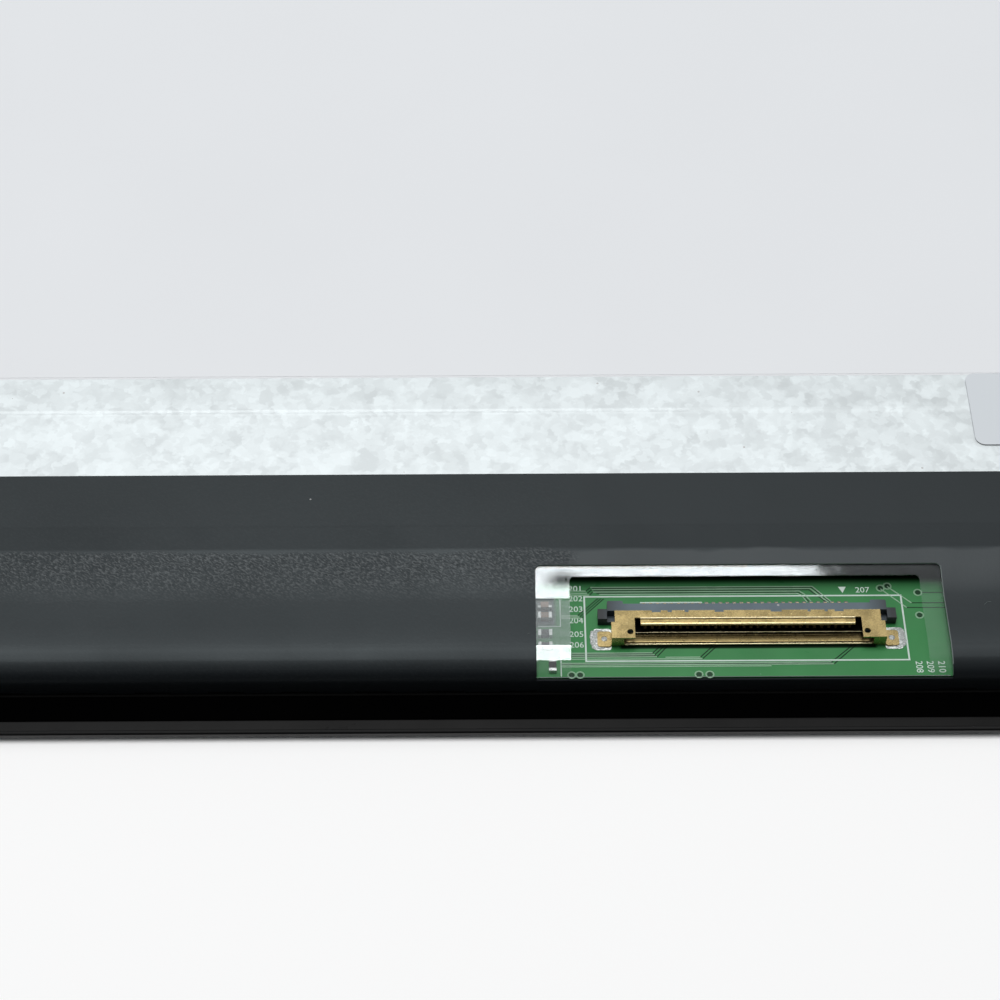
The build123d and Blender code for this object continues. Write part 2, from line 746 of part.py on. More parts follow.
# Moulded housing of the connector: a floor, two posts, a bar behind and an ear at each end
mouth_front = y_edge + connector_low
cavity_end = mouth_front + cavity_back
tray_pocket = tray_back + shell_t
groove_w = contact_w + 2 * contact_clear
with BuildPart() as connector_housing:
    with BuildSketch(Plane.XY.offset(z_board)):
        with BuildLine():
            half = Polyline(
                (connector_x, mouth_front + tray_inset + shell_t + contact_clear),
                (connector_x + housing_side, mouth_front + tray_inset + shell_t + contact_clear),
                (connector_x + housing_side, mouth_front + ear_front),
                (connector_x + ear_out, mouth_front + ear_front),
                (connector_x + ear_out, mouth_front + ear_back),
                (connector_x + ear_in, mouth_front + ear_back),
                (connector_x + ear_in, mouth_front + bar_back),
                (connector_x, mouth_front + bar_back),
            )
            mirror(half, about=Plane.YZ.offset(connector_x))
        make_face()
    extrude(amount=housing_h)
    ear_edges = connector_housing.edges().filter_by(Axis.Z)
    fillet(ear_edges.filter_by_position(Axis.Y, mouth_front + ear_back, mouth_front + ear_back), ear_corner_r)
    with BuildSketch(Plane.XY.offset(z_board)):
        tip_x = (ear_tip_out + ear_tip_in) / 2
        tip_y = mouth_front + (ear_tip_front + ear_tip_back) / 2
        with Locations((connector_x - tip_x, tip_y), (connector_x + tip_x, tip_y)):
            Rectangle(ear_tip_out - ear_tip_in, ear_tip_back - ear_tip_front)
        back_x = (ear_tip_out + ear_in) / 2
        back_y = mouth_front + (ear_front + ear_tip_back) / 2
        with Locations((connector_x - back_x, back_y), (connector_x + back_x, back_y)):
            Rectangle(ear_tip_out - ear_in, ear_tip_back - ear_front)
    extrude(amount=housing_h - ear_tip_drop)
    with BuildSketch(Plane.XY.offset(z_board)):
        web_x = (ear_tip_out + housing_side) / 2
        with Locations((connector_x - web_x, tip_y), (connector_x + web_x, tip_y)):
            Rectangle(ear_tip_out - housing_side, ear_tip_back - ear_tip_front)
    extrude(amount=ear_web_h)
    with BuildSketch(Plane.XY.offset(z_board + housing_floor)):
        with Locations((connector_x, (mouth_front + cavity_end) / 2)):
            Rectangle(2 * housing_post_in, cavity_back)
        with Locations((connector_x, mouth_front + tray_pocket / 2)):
            Rectangle(2 * (tray_half + contact_clear), tray_pocket)
    extrude(amount=housing_h - housing_floor, mode=Mode.SUBTRACT)
    with BuildSketch(Plane.XY.offset(z_board + contact_strip_h - contact_clear)):
        with Locations(*[(x, mouth_front + bar_back) for x in contact_xs]):
            Rectangle(groove_w, 2 * (bar_back - contact_front + contact_clear))
    extrude(amount=contact_t + 2 * contact_clear, mode=Mode.SUBTRACT)
    with BuildSketch(Plane.XZ.offset(-(mouth_front + tray_inset))):
        hole_x = tray_half + post_hole
        with Locations(
            (connector_x - hole_x, z_board + housing_h / 2),
            (connector_x + hole_x, z_board + housing_h / 2),
        ):
            Rectangle(post_hole, post_hole)
    extrude(amount=-post_hole_deep, mode=Mode.SUBTRACT)
connector_housing.part.label = "connector_housing"
export_step(connector_housing.part, "parts/connector_housing.step")

# Thirty contacts, one bent strip each, drawn along the strip's upper face
contact_path = [
    (mouth_front + contact_front, z_board + contact_tip_h),
    (mouth_front + contact_crest, z_board + contact_crest_h),
    (cavity_end - contact_t, z_board + contact_strip_h + contact_t),
    (tail_start, z_board + contact_strip_h + contact_t),
    (tail_start + contact_t, z_land + contact_t),
    (tail_start + contact_tail, z_land + contact_t),
]
with BuildPart() as connector_contacts:
    with BuildSketch(*[Plane.YZ.offset(x - contact_w / 2) for x in contact_xs]):
        with BuildLine():
            Polyline(*contact_path, *[(y, z - contact_t) for y, z in reversed(contact_path)], close=True)
        make_face()
    extrude(amount=contact_w)
connector_contacts.part.label = "connector_contacts"
export_step(connector_contacts.part, "parts/connector_contacts.step")

# Folded shell of the connector: pierced top, stepped lip, polished tray, walls and feet
shell_back = mouth_front + shell_deep
lip_top = z_shell - lip_drop
lip_root = mouth_front + lip_start + shell_t
lip_corner = (mouth_front + lip_front, lip_top)
lip_outline = [
    (lip_root, z_shell),
    (mouth_front + lip_start, z_shell),
    (mouth_front + lip_start - lip_jog, lip_top),
    lip_corner,
    (mouth_front + lip_front, z_board + lip_h),
    (mouth_front + lip_front + shell_t, z_board + lip_h),
    (mouth_front + lip_front + shell_t, lip_top - shell_t),
    (mouth_front + lip_start - lip_jog / 2, lip_top - shell_t),
    (mouth_front + lip_start + lip_jog / 2, z_housing),
    (lip_root, z_housing),
]
tray_line = [
    (mouth_front + tray_back, z_board + tray_h + tray_curl - tray_fall),
    (mouth_front + tray_back - tray_curl, z_board + tray_h - tray_fall),
    (mouth_front + tray_inset, z_board + tray_h),
    (mouth_front + tray_inset, z_board + tray_skirt_h),
]
with BuildPart() as connector_shell:
    with BuildSketch(Plane.XY.offset(z_housing)):
        with BuildLine():
            side = Polyline(
                (connector_x, mouth_front + lip_start),
                (connector_x + slit_out, mouth_front + lip_start),
                (connector_x + slit_out, mouth_front),
                (connector_x + shell_front_half, mouth_front),
                (connector_x + shell_front_half, mouth_front + shell_step),
                (connector_x + shell_back_half, mouth_front + shell_step),
                (connector_x + shell_back_half, shell_back),
                (connector_x, shell_back),
            )
            mirror(side, about=Plane.YZ.offset(connector_x))
        make_face()
        with Locations(
            (connector_x - shell_hole_x, mouth_front + shell_hole_low),
            (connector_x + shell_hole_x, mouth_front + shell_hole_low),
        ):
            Circle(shell_hole_r, mode=Mode.SUBTRACT)
        for notch_x, notch_w in notches:
            with Locations((connector_x + notch_x, shell_back)):
                Rectangle(notch_w, 2 * notch_deep, mode=Mode.SUBTRACT)
    extrude(amount=shell_t)
    with BuildSketch(Plane.YZ.offset(connector_x - slit_in)):
        with BuildLine():
            Polyline(*lip_outline, close=True)
        make_face()
    extrude(amount=2 * slit_in)
    lip_edges = connector_shell.edges().filter_by(Axis.X).filter_by_position(Axis.Y, *[lip_corner[0]] * 2)
    fillet(lip_edges.sort_by(Axis.Z)[-1], lip_r)
    with BuildSketch(Plane.YZ.offset(connector_x - tray_half)):
        with BuildLine():
            FilletPolyline(*tray_line, radius=[shell_fold_r, shell_t + shell_fold_r / 2])
            offset(amount=shell_t, side=Side.LEFT)
        make_face()
    extrude(amount=2 * tray_half)
    with BuildSketch(Plane.XY.offset(z_land + front_wall_gap)):
        wall_mid = (shell_front_half + front_wall_in) / 2
        with Locations(
            (connector_x - wall_mid, mouth_front + shell_t / 2),
            (connector_x + wall_mid, mouth_front + shell_t / 2),
        ):
            Rectangle(shell_front_half - front_wall_in, shell_t)
    extrude(amount=z_housing - z_land - front_wall_gap)
    with BuildSketch(Plane.XY.offset(z_land)):
        side_x = shell_front_half - shell_t / 2
        with Locations(
            (connector_x - side_x, mouth_front + shell_step / 2),
            (connector_x + side_x, mouth_front + shell_step / 2),
        ):
            Rectangle(shell_t, shell_step)
    extrude(amount=z_housing - z_land)
    with BuildSketch(Plane.XY.offset(z_land)):
        with Locations((connector_x - foot_x, foot_y), (connector_x + foot_x, foot_y)):
            RectangleRounded(foot_w, foot_deep, foot_corner_r)
            Circle(foot_hole_r, mode=Mode.SUBTRACT)
    extrude(amount=shell_t)
connector_shell.part.label = "connector_shell"
export_step(connector_shell.part, "parts/connector_shell.step")

# Small chips on the board: places of the capacitors and resistors
row_xs = [(i - (row_count - 1) / 2) * row_pitch for i in range(row_count)]
row_low = chip_low - timing_size / 2 - chip_deep
row_high = chip_low + timing_size / 2 + chip_deep
cap_spots = [(connector_x + window_chip_x, y_edge + low) for low in window_caps_low]
cap_spots += [(timing_x + x, y_edge + row_low) for x in row_xs]
cap_spots += [(power_x + x, y_edge + row_low) for x in row_xs]
resistor_spots = [(connector_x + window_chip_x, y_edge + low) for low in window_resistors_low]
resistor_spots += [(timing_x + x, y_edge + row_high) for x in row_xs]
resistor_spots += [(touch_x + x, y_edge + row_low) for x in row_xs]
chip_body_len = chip_len - 2 * chip_end
upright_spot = (connector_x + window_upright_x, y_edge + window_upright_low)

with BuildPart() as capacitors:
    with BuildSketch(Plane.XY.offset(z_board)):
        with Locations(*cap_spots):
            Rectangle(chip_body_len, chip_deep)
    extrude(amount=chip_h)
capacitors.part.label = "capacitors"
export_step(capacitors.part, "parts/capacitors.step")

with BuildPart() as resistors:
    with BuildSketch(Plane.XY.offset(z_board)):
        with Locations(*resistor_spots):
            Rectangle(chip_body_len, chip_deep)
        with Locations(upright_spot):
            Rectangle(chip_deep, chip_body_len)
    extrude(amount=resistor_h)
resistors.part.label = "resistors"
export_step(resistors.part, "parts/resistors.step")

# Tinned ends of the capacitors and resistors
chip_end_x = (chip_len - chip_end) / 2
with BuildPart() as chip_ends:
    with BuildSketch(Plane.XY.offset(z_board)):
        for spot_x, spot_y in cap_spots:
            with Locations((spot_x - chip_end_x, spot_y), (spot_x + chip_end_x, spot_y)):
                Rectangle(chip_end, chip_deep + 2 * chip_end_proud)
    extrude(amount=chip_h + chip_end_proud)
    with BuildSketch(Plane.XY.offset(z_board)):
        for spot_x, spot_y in resistor_spots:
            with Locations((spot_x - chip_end_x, spot_y), (spot_x + chip_end_x, spot_y)):
                Rectangle(chip_end, chip_deep + 2 * chip_end_proud)
        with Locations(upright_spot):
            with GridLocations(0, 2 * chip_end_x, 1, 2):
                Rectangle(chip_deep + 2 * chip_end_proud, chip_end)
    extrude(amount=resistor_h + chip_end_proud)
chip_ends.part.label = "chip_ends"
export_step(chip_ends.part, "parts/chip_ends.step")

# Packaged chips and the coil
with BuildPart() as timing_controller:
    with BuildSketch(Plane.XY.offset(z_board)):
        with Locations((timing_x, y_edge + chip_low)):
            Rectangle(timing_size, timing_size)
    extrude(amount=chip_body_h)
    chamfer(timing_controller.faces().sort_by(Axis.Z)[-1].edges(), length=chip_chamfer)
timing_controller.part.label = "timing_controller"
export_step(timing_controller.part, "parts/timing_controller.step")

with BuildPart() as power_chip:
    with BuildSketch(Plane.XY.offset(z_board)):
        with Locations((power_x, y_edge + chip_low)):
            Rectangle(power_size, power_size)
    extrude(amount=chip_body_h)
    chamfer(power_chip.faces().sort_by(Axis.Z)[-1].edges(), length=chip_chamfer)
power_chip.part.label = "power_chip"
export_step(power_chip.part, "parts/power_chip.step")

with BuildPart() as touch_controller:
    with BuildSketch(Plane.XY.offset(z_board)):
        with Locations((touch_x, y_edge + chip_low)):
            Rectangle(touch_chip_size, touch_chip_size)
    extrude(amount=chip_body_h)
    chamfer(touch_controller.faces().sort_by(Axis.Z)[-1].edges(), length=chip_chamfer)
touch_controller.part.label = "touch_controller"
export_step(touch_controller.part, "parts/touch_controller.step")

with BuildPart() as power_coil:
    with BuildSketch(Plane.XY.offset(z_board)):
        with Locations((coil_x, y_edge + chip_low)):
            RectangleRounded(coil_size, coil_size, coil_corner_r)
    extrude(amount=coil_h)
power_coil.part.label = "power_coil"
export_step(power_coil.part, "parts/power_coil.step")

# Black cover film: a creased sheet from the plate, over the board and down past its edge
outer_profile = [
    (y_edge + film_high, film_z),
    (y_edge + plate_low - film_t, film_z),
    (y_edge + film_crease_low, film_z - film_crease_drop),
    (y_edge + film_plateau_low, film_plateau_z),
    (y_edge + film_shoulder_low, film_plateau_z),
    (y_edge + film_bend_low, film_bend_z),
    (y_edge + film_corner_low, film_corner_z),
    (y_edge + film_edge_low, film_edge_z),
]
film_radii = [film_crease_r] * 5 + [film_corner_r]
window_x = connector_x + window_shift
tooth_count = int(film_w / film_tooth_pitch)
with BuildPart() as cover_film:
    with BuildSketch(Plane.YZ.offset(-film_w / 2)):
        with BuildLine():
            FilletPolyline(*outer_profile, radius=film_radii)
            offset(amount=film_t, side=Side.LEFT)
        make_face()
    extrude(amount=film_w)
    with BuildSketch(Plane.XY.offset(window_low_z)):
        with Locations((window_x, y_edge + window_high / 2)):
            RectangleRounded(window_w, window_high, window_corner_r)
    extrude(amount=film_z, mode=Mode.SUBTRACT)
    with BuildSketch(Plane.XY.offset(film_edge_z - film_t)):
        with Locations((0, y_edge + film_edge_low)):
            with GridLocations(film_tooth_pitch, 0, tooth_count, 1):
                Rectangle(film_tooth_gap, film_tooth_deep)
    extrude(amount=film_t + film_tooth_h, mode=Mode.SUBTRACT)
cover_film.part.label = "cover_film"
export_step(cover_film.part, "parts/cover_film.step")

# Clear film glued behind the window: an inverted U round the connector
clear_w = window_w + 2 * clear_lap
clear_high = window_high + clear_lap_high
clear_x = connector_x + clear_cut_shift
with BuildPart() as window_film:
    with BuildSketch(Plane.YZ.offset(window_x - clear_w / 2)):
        with BuildLine():
            FilletPolyline(*outer_profile, radius=film_radii)
            offset(amount=2 * film_t + glue_t, side=Side.LEFT)
        make_face()
        with BuildLine():
            FilletPolyline(*outer_profile, radius=film_radii)
            offset(amount=film_t + glue_t, side=Side.LEFT)
        make_face(mode=Mode.SUBTRACT)
    extrude(amount=clear_w)
    with BuildSketch(Plane.XY.offset(z_board + glue_t)):
        with Locations((window_x, y_edge + clear_high / 2)):
            RectangleRounded(clear_w, clear_high, clear_corner_r)
    extrude(amount=film_z - z_board, mode=Mode.INTERSECT)
    with BuildSketch(Plane.XY.offset(z_board)):
        with Locations((clear_x, y_edge + clear_cut_high / 2)):
            RectangleRounded(clear_cut_w, clear_cut_high, clear_cut_corner_r)
    extrude(amount=film_z - z_board, mode=Mode.SUBTRACT)
window_film.part.label = "window_film"
export_step(window_film.part, "parts/window_film.step")
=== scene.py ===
import json
import math

import bmesh
import bpy
from mathutils import Matrix, Vector, noise


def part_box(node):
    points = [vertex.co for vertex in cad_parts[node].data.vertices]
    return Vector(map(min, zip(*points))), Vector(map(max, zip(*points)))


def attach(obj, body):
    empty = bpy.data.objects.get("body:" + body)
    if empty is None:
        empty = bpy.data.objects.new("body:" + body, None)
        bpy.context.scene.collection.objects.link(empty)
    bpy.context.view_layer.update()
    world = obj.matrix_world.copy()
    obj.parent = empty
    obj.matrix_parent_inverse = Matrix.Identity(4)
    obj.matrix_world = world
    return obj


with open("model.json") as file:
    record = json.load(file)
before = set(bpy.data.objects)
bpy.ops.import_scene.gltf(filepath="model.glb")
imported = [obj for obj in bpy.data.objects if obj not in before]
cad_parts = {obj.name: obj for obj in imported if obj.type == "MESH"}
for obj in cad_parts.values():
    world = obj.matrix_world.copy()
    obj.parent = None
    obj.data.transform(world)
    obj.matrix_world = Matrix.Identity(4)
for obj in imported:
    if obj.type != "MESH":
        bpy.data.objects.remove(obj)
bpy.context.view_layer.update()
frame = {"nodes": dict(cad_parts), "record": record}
nodes = frame["nodes"]
bpy.ops.object.select_all(action="DESELECT")
print("stage: frame loaded,", len(nodes), "nodes")

# Places read from the frame, in metres
mm = 0.001
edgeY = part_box("cover_glass")[0].y
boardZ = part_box("control_board")[1].z
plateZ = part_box("rear_plate")[1].z
sheetLow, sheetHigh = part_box("back_sheet")
shellLow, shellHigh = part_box("connector_shell")
connectorX = (shellLow.x + shellHigh.x) / 2
aboveAll = 10 * mm


def spot(x, low, z=boardZ):
    # x mm from the middle of the connector, low mm from the bottom edge of the glass
    return Vector((connectorX + x * mm, edgeY + low * mm, z))


def tone(red, green, blue):
    # A colour given in levels of 0 to 255, by the sRGB curve
    levels = (red / 255, green / 255, blue / 255)
    return tuple(((c + 0.055) / 1.055) ** 2.4 for c in levels) + (1.0,)


def grey(value):
    return (value, value, value, 1.0)


def topOf(name, x, low):
    # Height of a node's upper surface over a spot
    node = nodes[name]
    start = node.matrix_world.inverted() @ spot(x, low, aboveAll)
    place = node.ray_cast(start, Vector((0, 0, -1)))[1]
    return (node.matrix_world @ place).z


# Camera: the photograph's view, 50 degrees above the panel
cameraView = {
    "x": -17.5,
    "low": -95.07,
    "height": 139.08 * mm,
    "elevation": math.radians(50.0),
    "roll": math.radians(0.3),
    "lens": 86.69,
    "sensor": 36.0,
    "clip": (0.01, 20.0),
}


def addCamera(view):
    bpy.ops.object.camera_add(location=spot(view["x"], view["low"], view["height"]))
    camera = bpy.context.object
    camera.name = "photoCamera"
    camera.data.lens = view["lens"]
    camera.data.sensor_width = view["sensor"]
    camera.data.clip_start, camera.data.clip_end = view["clip"]
    ahead = Vector((0, math.cos(view["elevation"]), -math.sin(view["elevation"])))
    level = Vector((0, math.sin(view["elevation"]), math.cos(view["elevation"])))
    side = Vector((math.cos(view["roll"]), 0, 0)) - math.sin(view["roll"]) * level
    upward = side.cross(ahead)
    turned = Matrix((side, upward, -ahead)).transposed()
    camera.rotation_euler = turned.to_euler()
    bpy.context.scene.camera = camera


addCamera(cameraView)
bpy.context.scene.view_settings.view_transform = "Standard"

# Studio: one softbox overhead, a dim front and a pale floor
studio = {
    "aim": (0, 12),
    "softboxSize": 0.44,
    "softboxDistance": 0.9,
    "softboxElevation": math.radians(77.0),
    "softboxX": -0.036,
    "softboxWatts": 5.1,
    "frontBackLight": (0.10, 0.58),
    "frontBackSpan": (-0.9, 0.75),
    "lightColour": (0.985, 0.995, 1.0, 1.0),
    "backdrop": 0.93,
    "floorSize": 6.0,
    "floorShown": 0.97,
    "floorGlow": 0.06,
    "floorBounce": 0.16,
    "floorRough": 0.9,
    "floorDrop": 0.02 * mm,
}


def addNode(tree, kind, links=None, **settings):
    node = tree.nodes.new("ShaderNode" + kind)
    for key, value in settings.items():
        setattr(node, key, value)
    for socket, value in (links or {}).items():
        if isinstance(value, bpy.types.NodeSocket):
            tree.links.new(value, node.inputs[socket])
        else:
            node.inputs[socket].default_value = value
    return node


def ramp(tree, factor, stops):
    node = addNode(tree, "ValToRGB", {"Fac": factor})
    elements = node.color_ramp.elements
    while len(elements) < len(stops):
        elements.new(1.0)
    for element, (position, colour) in zip(elements, stops):
        element.position = position
        element.color = colour
    return node.outputs["Color"]


def maths(tree, operation, *values):
    return addNode(tree, "Math", dict(enumerate(values)), operation=operation).outputs[0]


def times(tree, first, second):
    return maths(tree, "MULTIPLY", first, second)


def mixValue(tree, factor, first, second):
    return addNode(tree, "Mix", {0: factor, 2: first, 3: second}).outputs[0]


def mapped(tree, value, source=(0.0, 1.0), target=(0.0, 1.0)):
    # A value carried from one range to another, and held at its ends
    ends = {"From Min": source[0], "From Max": source[1], "To Min": target[0], "To Max": target[1]}
    return addNode(tree, "MapRange", {"Value": value, **ends}).outputs["Result"]


def axis(tree, vector, letter):
    return addNode(tree, "SeparateXYZ", {"Vector": vector}).outputs[letter]


def vectorMaths(tree, operation, *values):
    return addNode(tree, "VectorMath", dict(enumerate(values)), operation=operation).outputs[0]


def noiseOf(tree, vector, scale, detail, output="Fac", **more):
    values = {"Vector": vector, "Scale": scale, "Detail": detail, **more}
    return addNode(tree, "TexNoise", values).outputs[output]


def waveOf(tree, vector, scale, way):
    return addNode(tree, "TexWave", {"Vector": vector, "Scale": scale}, bands_direction=way).outputs["Fac"]


def addWorld(settings):
    world = bpy.data.worlds.new("studioWorld")
    bpy.context.scene.world = world
    world.use_nodes = True
    tree = world.node_tree
    background = tree.nodes["Background"]
    rays = addNode(tree, "LightPath").outputs
    direction = addNode(tree, "TexCoord").outputs["Generated"]
    rising = mapped(tree, axis(tree, direction, "Y"), settings["frontBackSpan"], settings["frontBackLight"])
    seen = maths(tree, "MAXIMUM", rays["Is Camera Ray"], rays["Is Transmission Ray"])
    strength = mixValue(tree, seen, rising, settings["backdrop"])
    tree.links.new(strength, background.inputs["Strength"])
    background.inputs["Color"].default_value = settings["lightColour"]


def addSoftbox(settings):
    aim = spot(*settings["aim"])
    lift = settings["softboxElevation"]
    away = Vector((0, math.cos(lift), math.sin(lift))) * settings["softboxDistance"]
    place = Vector((settings["softboxX"], aim.y, aim.z)) + away
    bpy.ops.object.light_add(type="AREA", location=place)
    softbox = bpy.context.object
    softbox.name = "softbox"
    softbox.data.shape = "SQUARE"
    softbox.data.size = settings["softboxSize"]
    softbox.data.energy = settings["softboxWatts"]
    softbox.rotation_euler = (-away).to_track_quat("-Z", "Y").to_euler()


def addFloor(settings):
    bpy.ops.mesh.primitive_plane_add(size=settings["floorSize"], location=(0, 0, -settings["floorDrop"]))
    floor = bpy.context.object
    floor.name = "paleFloor"
    material = bpy.data.materials.new("paleFloor")
    material.use_nodes = True
    tree = material.node_tree
    shader = tree.nodes["Principled BSDF"].inputs
    rays = addNode(tree, "LightPath").outputs
    shades = {6: grey(settings["floorShown"]), 7: grey(settings["floorBounce"])}
    paper = addNode(tree, "Mix", {0: rays["Is Diffuse Ray"], **shades}, data_type="RGBA")
    tree.links.new(paper.outputs[2], shader["Base Color"])
    shader["Roughness"].default_value = settings["floorRough"]
    shader["Specular IOR Level"].default_value = 0.0
    glow = times(tree, rays["Is Camera Ray"], settings["floorGlow"])
    tree.links.new(glow, shader["Emission Strength"])
    floor.data.materials.append(material)
    bpy.ops.object.select_all(action="DESELECT")


addWorld(studio)
addSoftbox(studio)
addFloor(studio)
print("stage: camera and studio")


# Shared effects, as shader node groups
def newGroup(name, inputs, outputs):
    # A group that takes a vector and numbers with their defaults, and gives numbers
    tree = bpy.data.node_groups.new(name, "ShaderNodeTree")
    tree.interface.new_socket("Vector", in_out="INPUT", socket_type="NodeSocketVector")
    for socket, value in inputs.items():
        made = tree.interface.new_socket(socket, in_out="INPUT", socket_type="NodeSocketFloat")
        made.default_value = value
    for socket in outputs:
        tree.interface.new_socket(socket, in_out="OUTPUT", socket_type="NodeSocketFloat")
    return tree, tree.nodes.new("NodeGroupInput").outputs, tree.nodes.new("NodeGroupOutput").inputs


def useGroup(tree, group, links):
    return addNode(tree, "Group", links, node_tree=group).outputs


def makeGrain():
    # Fine mottled grain: a height and a slower patch mask
    inputs = {"Scale": 4000.0, "Patch Scale": 120.0}
    tree, given, made = newGroup("fineGrain", inputs, ["Height", "Patch"])
    fine = noiseOf(tree, given["Vector"], given["Scale"], detail=3.0)
    slow = noiseOf(tree, given["Vector"], given["Patch Scale"], detail=2.0)
    tree.links.new(fine, made["Height"])
    tree.links.new(slow, made["Patch"])
    return tree


def makeDust():
    # Scattered specks: one where a cell's random number is below the amount
    inputs = {"Scale": 900.0, "Size": 0.09, "Amount": 0.05}
    tree, given, made = newGroup("dustSpecks", inputs, ["Mask"])
    cells = addNode(tree, "TexVoronoi", {"Vector": given["Vector"], "Scale": given["Scale"]})
    chosen = addNode(tree, "SeparateColor", {"Color": cells.outputs["Color"]})
    few = maths(tree, "LESS_THAN", chosen.outputs["Red"], given["Amount"])
    near = maths(tree, "LESS_THAN", cells.outputs["Distance"], given["Size"])
    tree.links.new(times(tree, few, near), made["Mask"])
    return tree


def makeSmudge():
    # Cloudy handling marks that widen the roughness between two values
    inputs = {"Scale": 60.0, "Low": 0.2, "High": 0.4}
    tree, given, made = newGroup("handlingMarks", inputs, ["Roughness"])
    cloud = noiseOf(tree, given["Vector"], given["Scale"], detail=5.0, Distortion=0.6)
    spread = mapped(tree, cloud, (0.3, 0.7), (given["Low"], given["High"]))
    tree.links.new(spread, made["Roughness"])
    return tree


grainGroup = makeGrain()
dustGroup = makeDust()
smudgeGroup = makeSmudge()


def newMaterial(name, values):
    # A material whose constants are set on its shader's own sockets
    material = bpy.data.materials.new(name)
    material.use_nodes = True
    tree = material.node_tree
    shader = tree.nodes["Principled BSDF"]
    for socket, value in values.items():
        shader.inputs[socket].default_value = value
    coords = addNode(tree, "TexCoord").outputs["Object"]
    return material, tree, shader, coords


def feed(tree, shader, **values):
    # Links values to the shader: colour, roughness, specular, alpha or transmission
    sockets = {"colour": "Base Color", "specular": "Specular IOR Level", "transmission": "Transmission Weight"}
    for key, value in values.items():
        tree.links.new(value, shader.inputs[sockets.get(key, key.title())])


def shade(colour, factor):
    # A colour made darker or lighter
    return tuple(min(1.0, c * factor) for c in colour[:3]) + (1.0,)


def bump(tree, shader, height, distance):
    node = addNode(tree, "Bump", {"Height": height, "Distance": distance})
    tree.links.new(node.outputs["Normal"], shader.inputs["Normal"])
    return node


def mixColour(tree, factor, first, second, blend="MIX"):
    node = addNode(tree, "Mix", {0: factor, 6: first, 7: second}, data_type="RGBA", blend_type=blend)
    return node.outputs[2]


def alongLow(tree, coords, stops):
    # A factor that follows the distance from the glass's bottom edge: (low mm, factor) pairs
    first, last = stops[0][0], stops[-1][0]
    ends = (edgeY + first * mm, edgeY + last * mm)
    low = mapped(tree, axis(tree, coords, "Y"), ends)
    return ramp(tree, low, [((at - first) / (last - first), grey(factor)) for at, factor in stops])


def within(tree, socket, low, high, soft):
    # 1 between two values of a coordinate, with soft ends
    rising = mapped(tree, socket, (low - soft, low))
    falling = mapped(tree, socket, (high, high + soft), (1.0, 0.0))
    return times(tree, rising, falling)


def bandX(tree, coords, sides, soft):
    # 1 between two sides, in mm from the middle of the connector
    left, right = (connectorX + side * mm for side in sides)
    return within(tree, axis(tree, coords, "X"), left, right, soft * mm)


def bandY(tree, coords, lows, soft):
    # 1 between two lows, in mm from the bottom edge of the glass
    low, high = (edgeY + low * mm for low in lows)
    return within(tree, axis(tree, coords, "Y"), low, high, soft * mm)


def area(tree, coords, place):
    # 1 over a rectangle of the panel, with edges that are sharp unless it gives its softness
    softX, softY = place.get("soft", (0.02, 0.02))
    across = bandX(tree, coords, place["sides"], softX)
    return times(tree, across, bandY(tree, coords, place["lows"], softY))


def flatten(tree, bumpNode, factor):
    # Turns a surface's normals towards straight up, for thin cut edges and soft folds
    facing = addNode(tree, "NewGeometry").outputs["Normal"]
    turned = addNode(tree, "Mix", {0: factor, 4: facing, 5: (0.0, 0.0, 1.0)}, data_type="VECTOR")
    tree.links.new(turned.outputs[1], bumpNode.inputs["Normal"])


def addMarks(tree, shader, coords, low, high, scale=60.0):
    # Handling marks: the roughness varies in clouds between two values
    marks = useGroup(tree, smudgeGroup, {"Vector": coords, "Scale": scale, "Low": low, "High": high})
    feed(tree, shader, roughness=marks["Roughness"])


def dusted(tree, coords, body, colour, amount, scale=900.0, size=0.09):
    # A colour under scattered specks
    specks = useGroup(tree, dustGroup, {"Vector": coords, "Scale": scale, "Amount": amount, "Size": size})
    return mixColour(tree, specks["Mask"], body, colour)


# Moulded plastic, resin, foam or tape: grain, slow patches and a little dust
moulded = {"patches": 12, "dark": 0.8, "light": 1.2, "marks": 0.06}


def mouldedPlastic(name, colour, rough, scale, depth, dust=0.02, dustColour=grey(0.35), specular=0.4):
    material, tree, shader, coords = newMaterial(name, {"Specular IOR Level": specular})
    slow = scale / moulded["patches"]
    grain = useGroup(tree, grainGroup, {"Vector": coords, "Scale": scale, "Patch Scale": slow})
    dark, light = shade(colour, moulded["dark"]), shade(colour, moulded["light"])
    body = mixColour(tree, grain["Patch"], dark, light)
    feed(tree, shader, colour=dusted(tree, coords, body, dustColour, dust))
    addMarks(tree, shader, coords, rough - moulded["marks"], rough + moulded["marks"])
    bump(tree, shader, grain["Height"], depth)
    return material


# Smooth film or sheet: faint cloudiness and handling marks
smooth = {
    "cloud": 35.0,
    "dark": 0.975,
    "light": 1.02,
    "fine": 2500.0,
    "depth": 0.001 * mm,
    "marks": (0.04, 0.05),
}


def plainFilm(name, colour, rough, specular=0.5, flat=0.0):
    material, tree, shader, coords = newMaterial(name, {"Specular IOR Level": specular})
    cloud = noiseOf(tree, coords, smooth["cloud"], detail=3.0)
    dark, light = shade(colour, smooth["dark"]), shade(colour, smooth["light"])
    feed(tree, shader, colour=mixColour(tree, cloud, dark, light))
    under, over = smooth["marks"]
    addMarks(tree, shader, coords, rough - under, rough + over)
    fine = noiseOf(tree, coords, smooth["fine"], detail=2.0)
    flatten(tree, bump(tree, shader, fine, smooth["depth"]), flat)
    return material


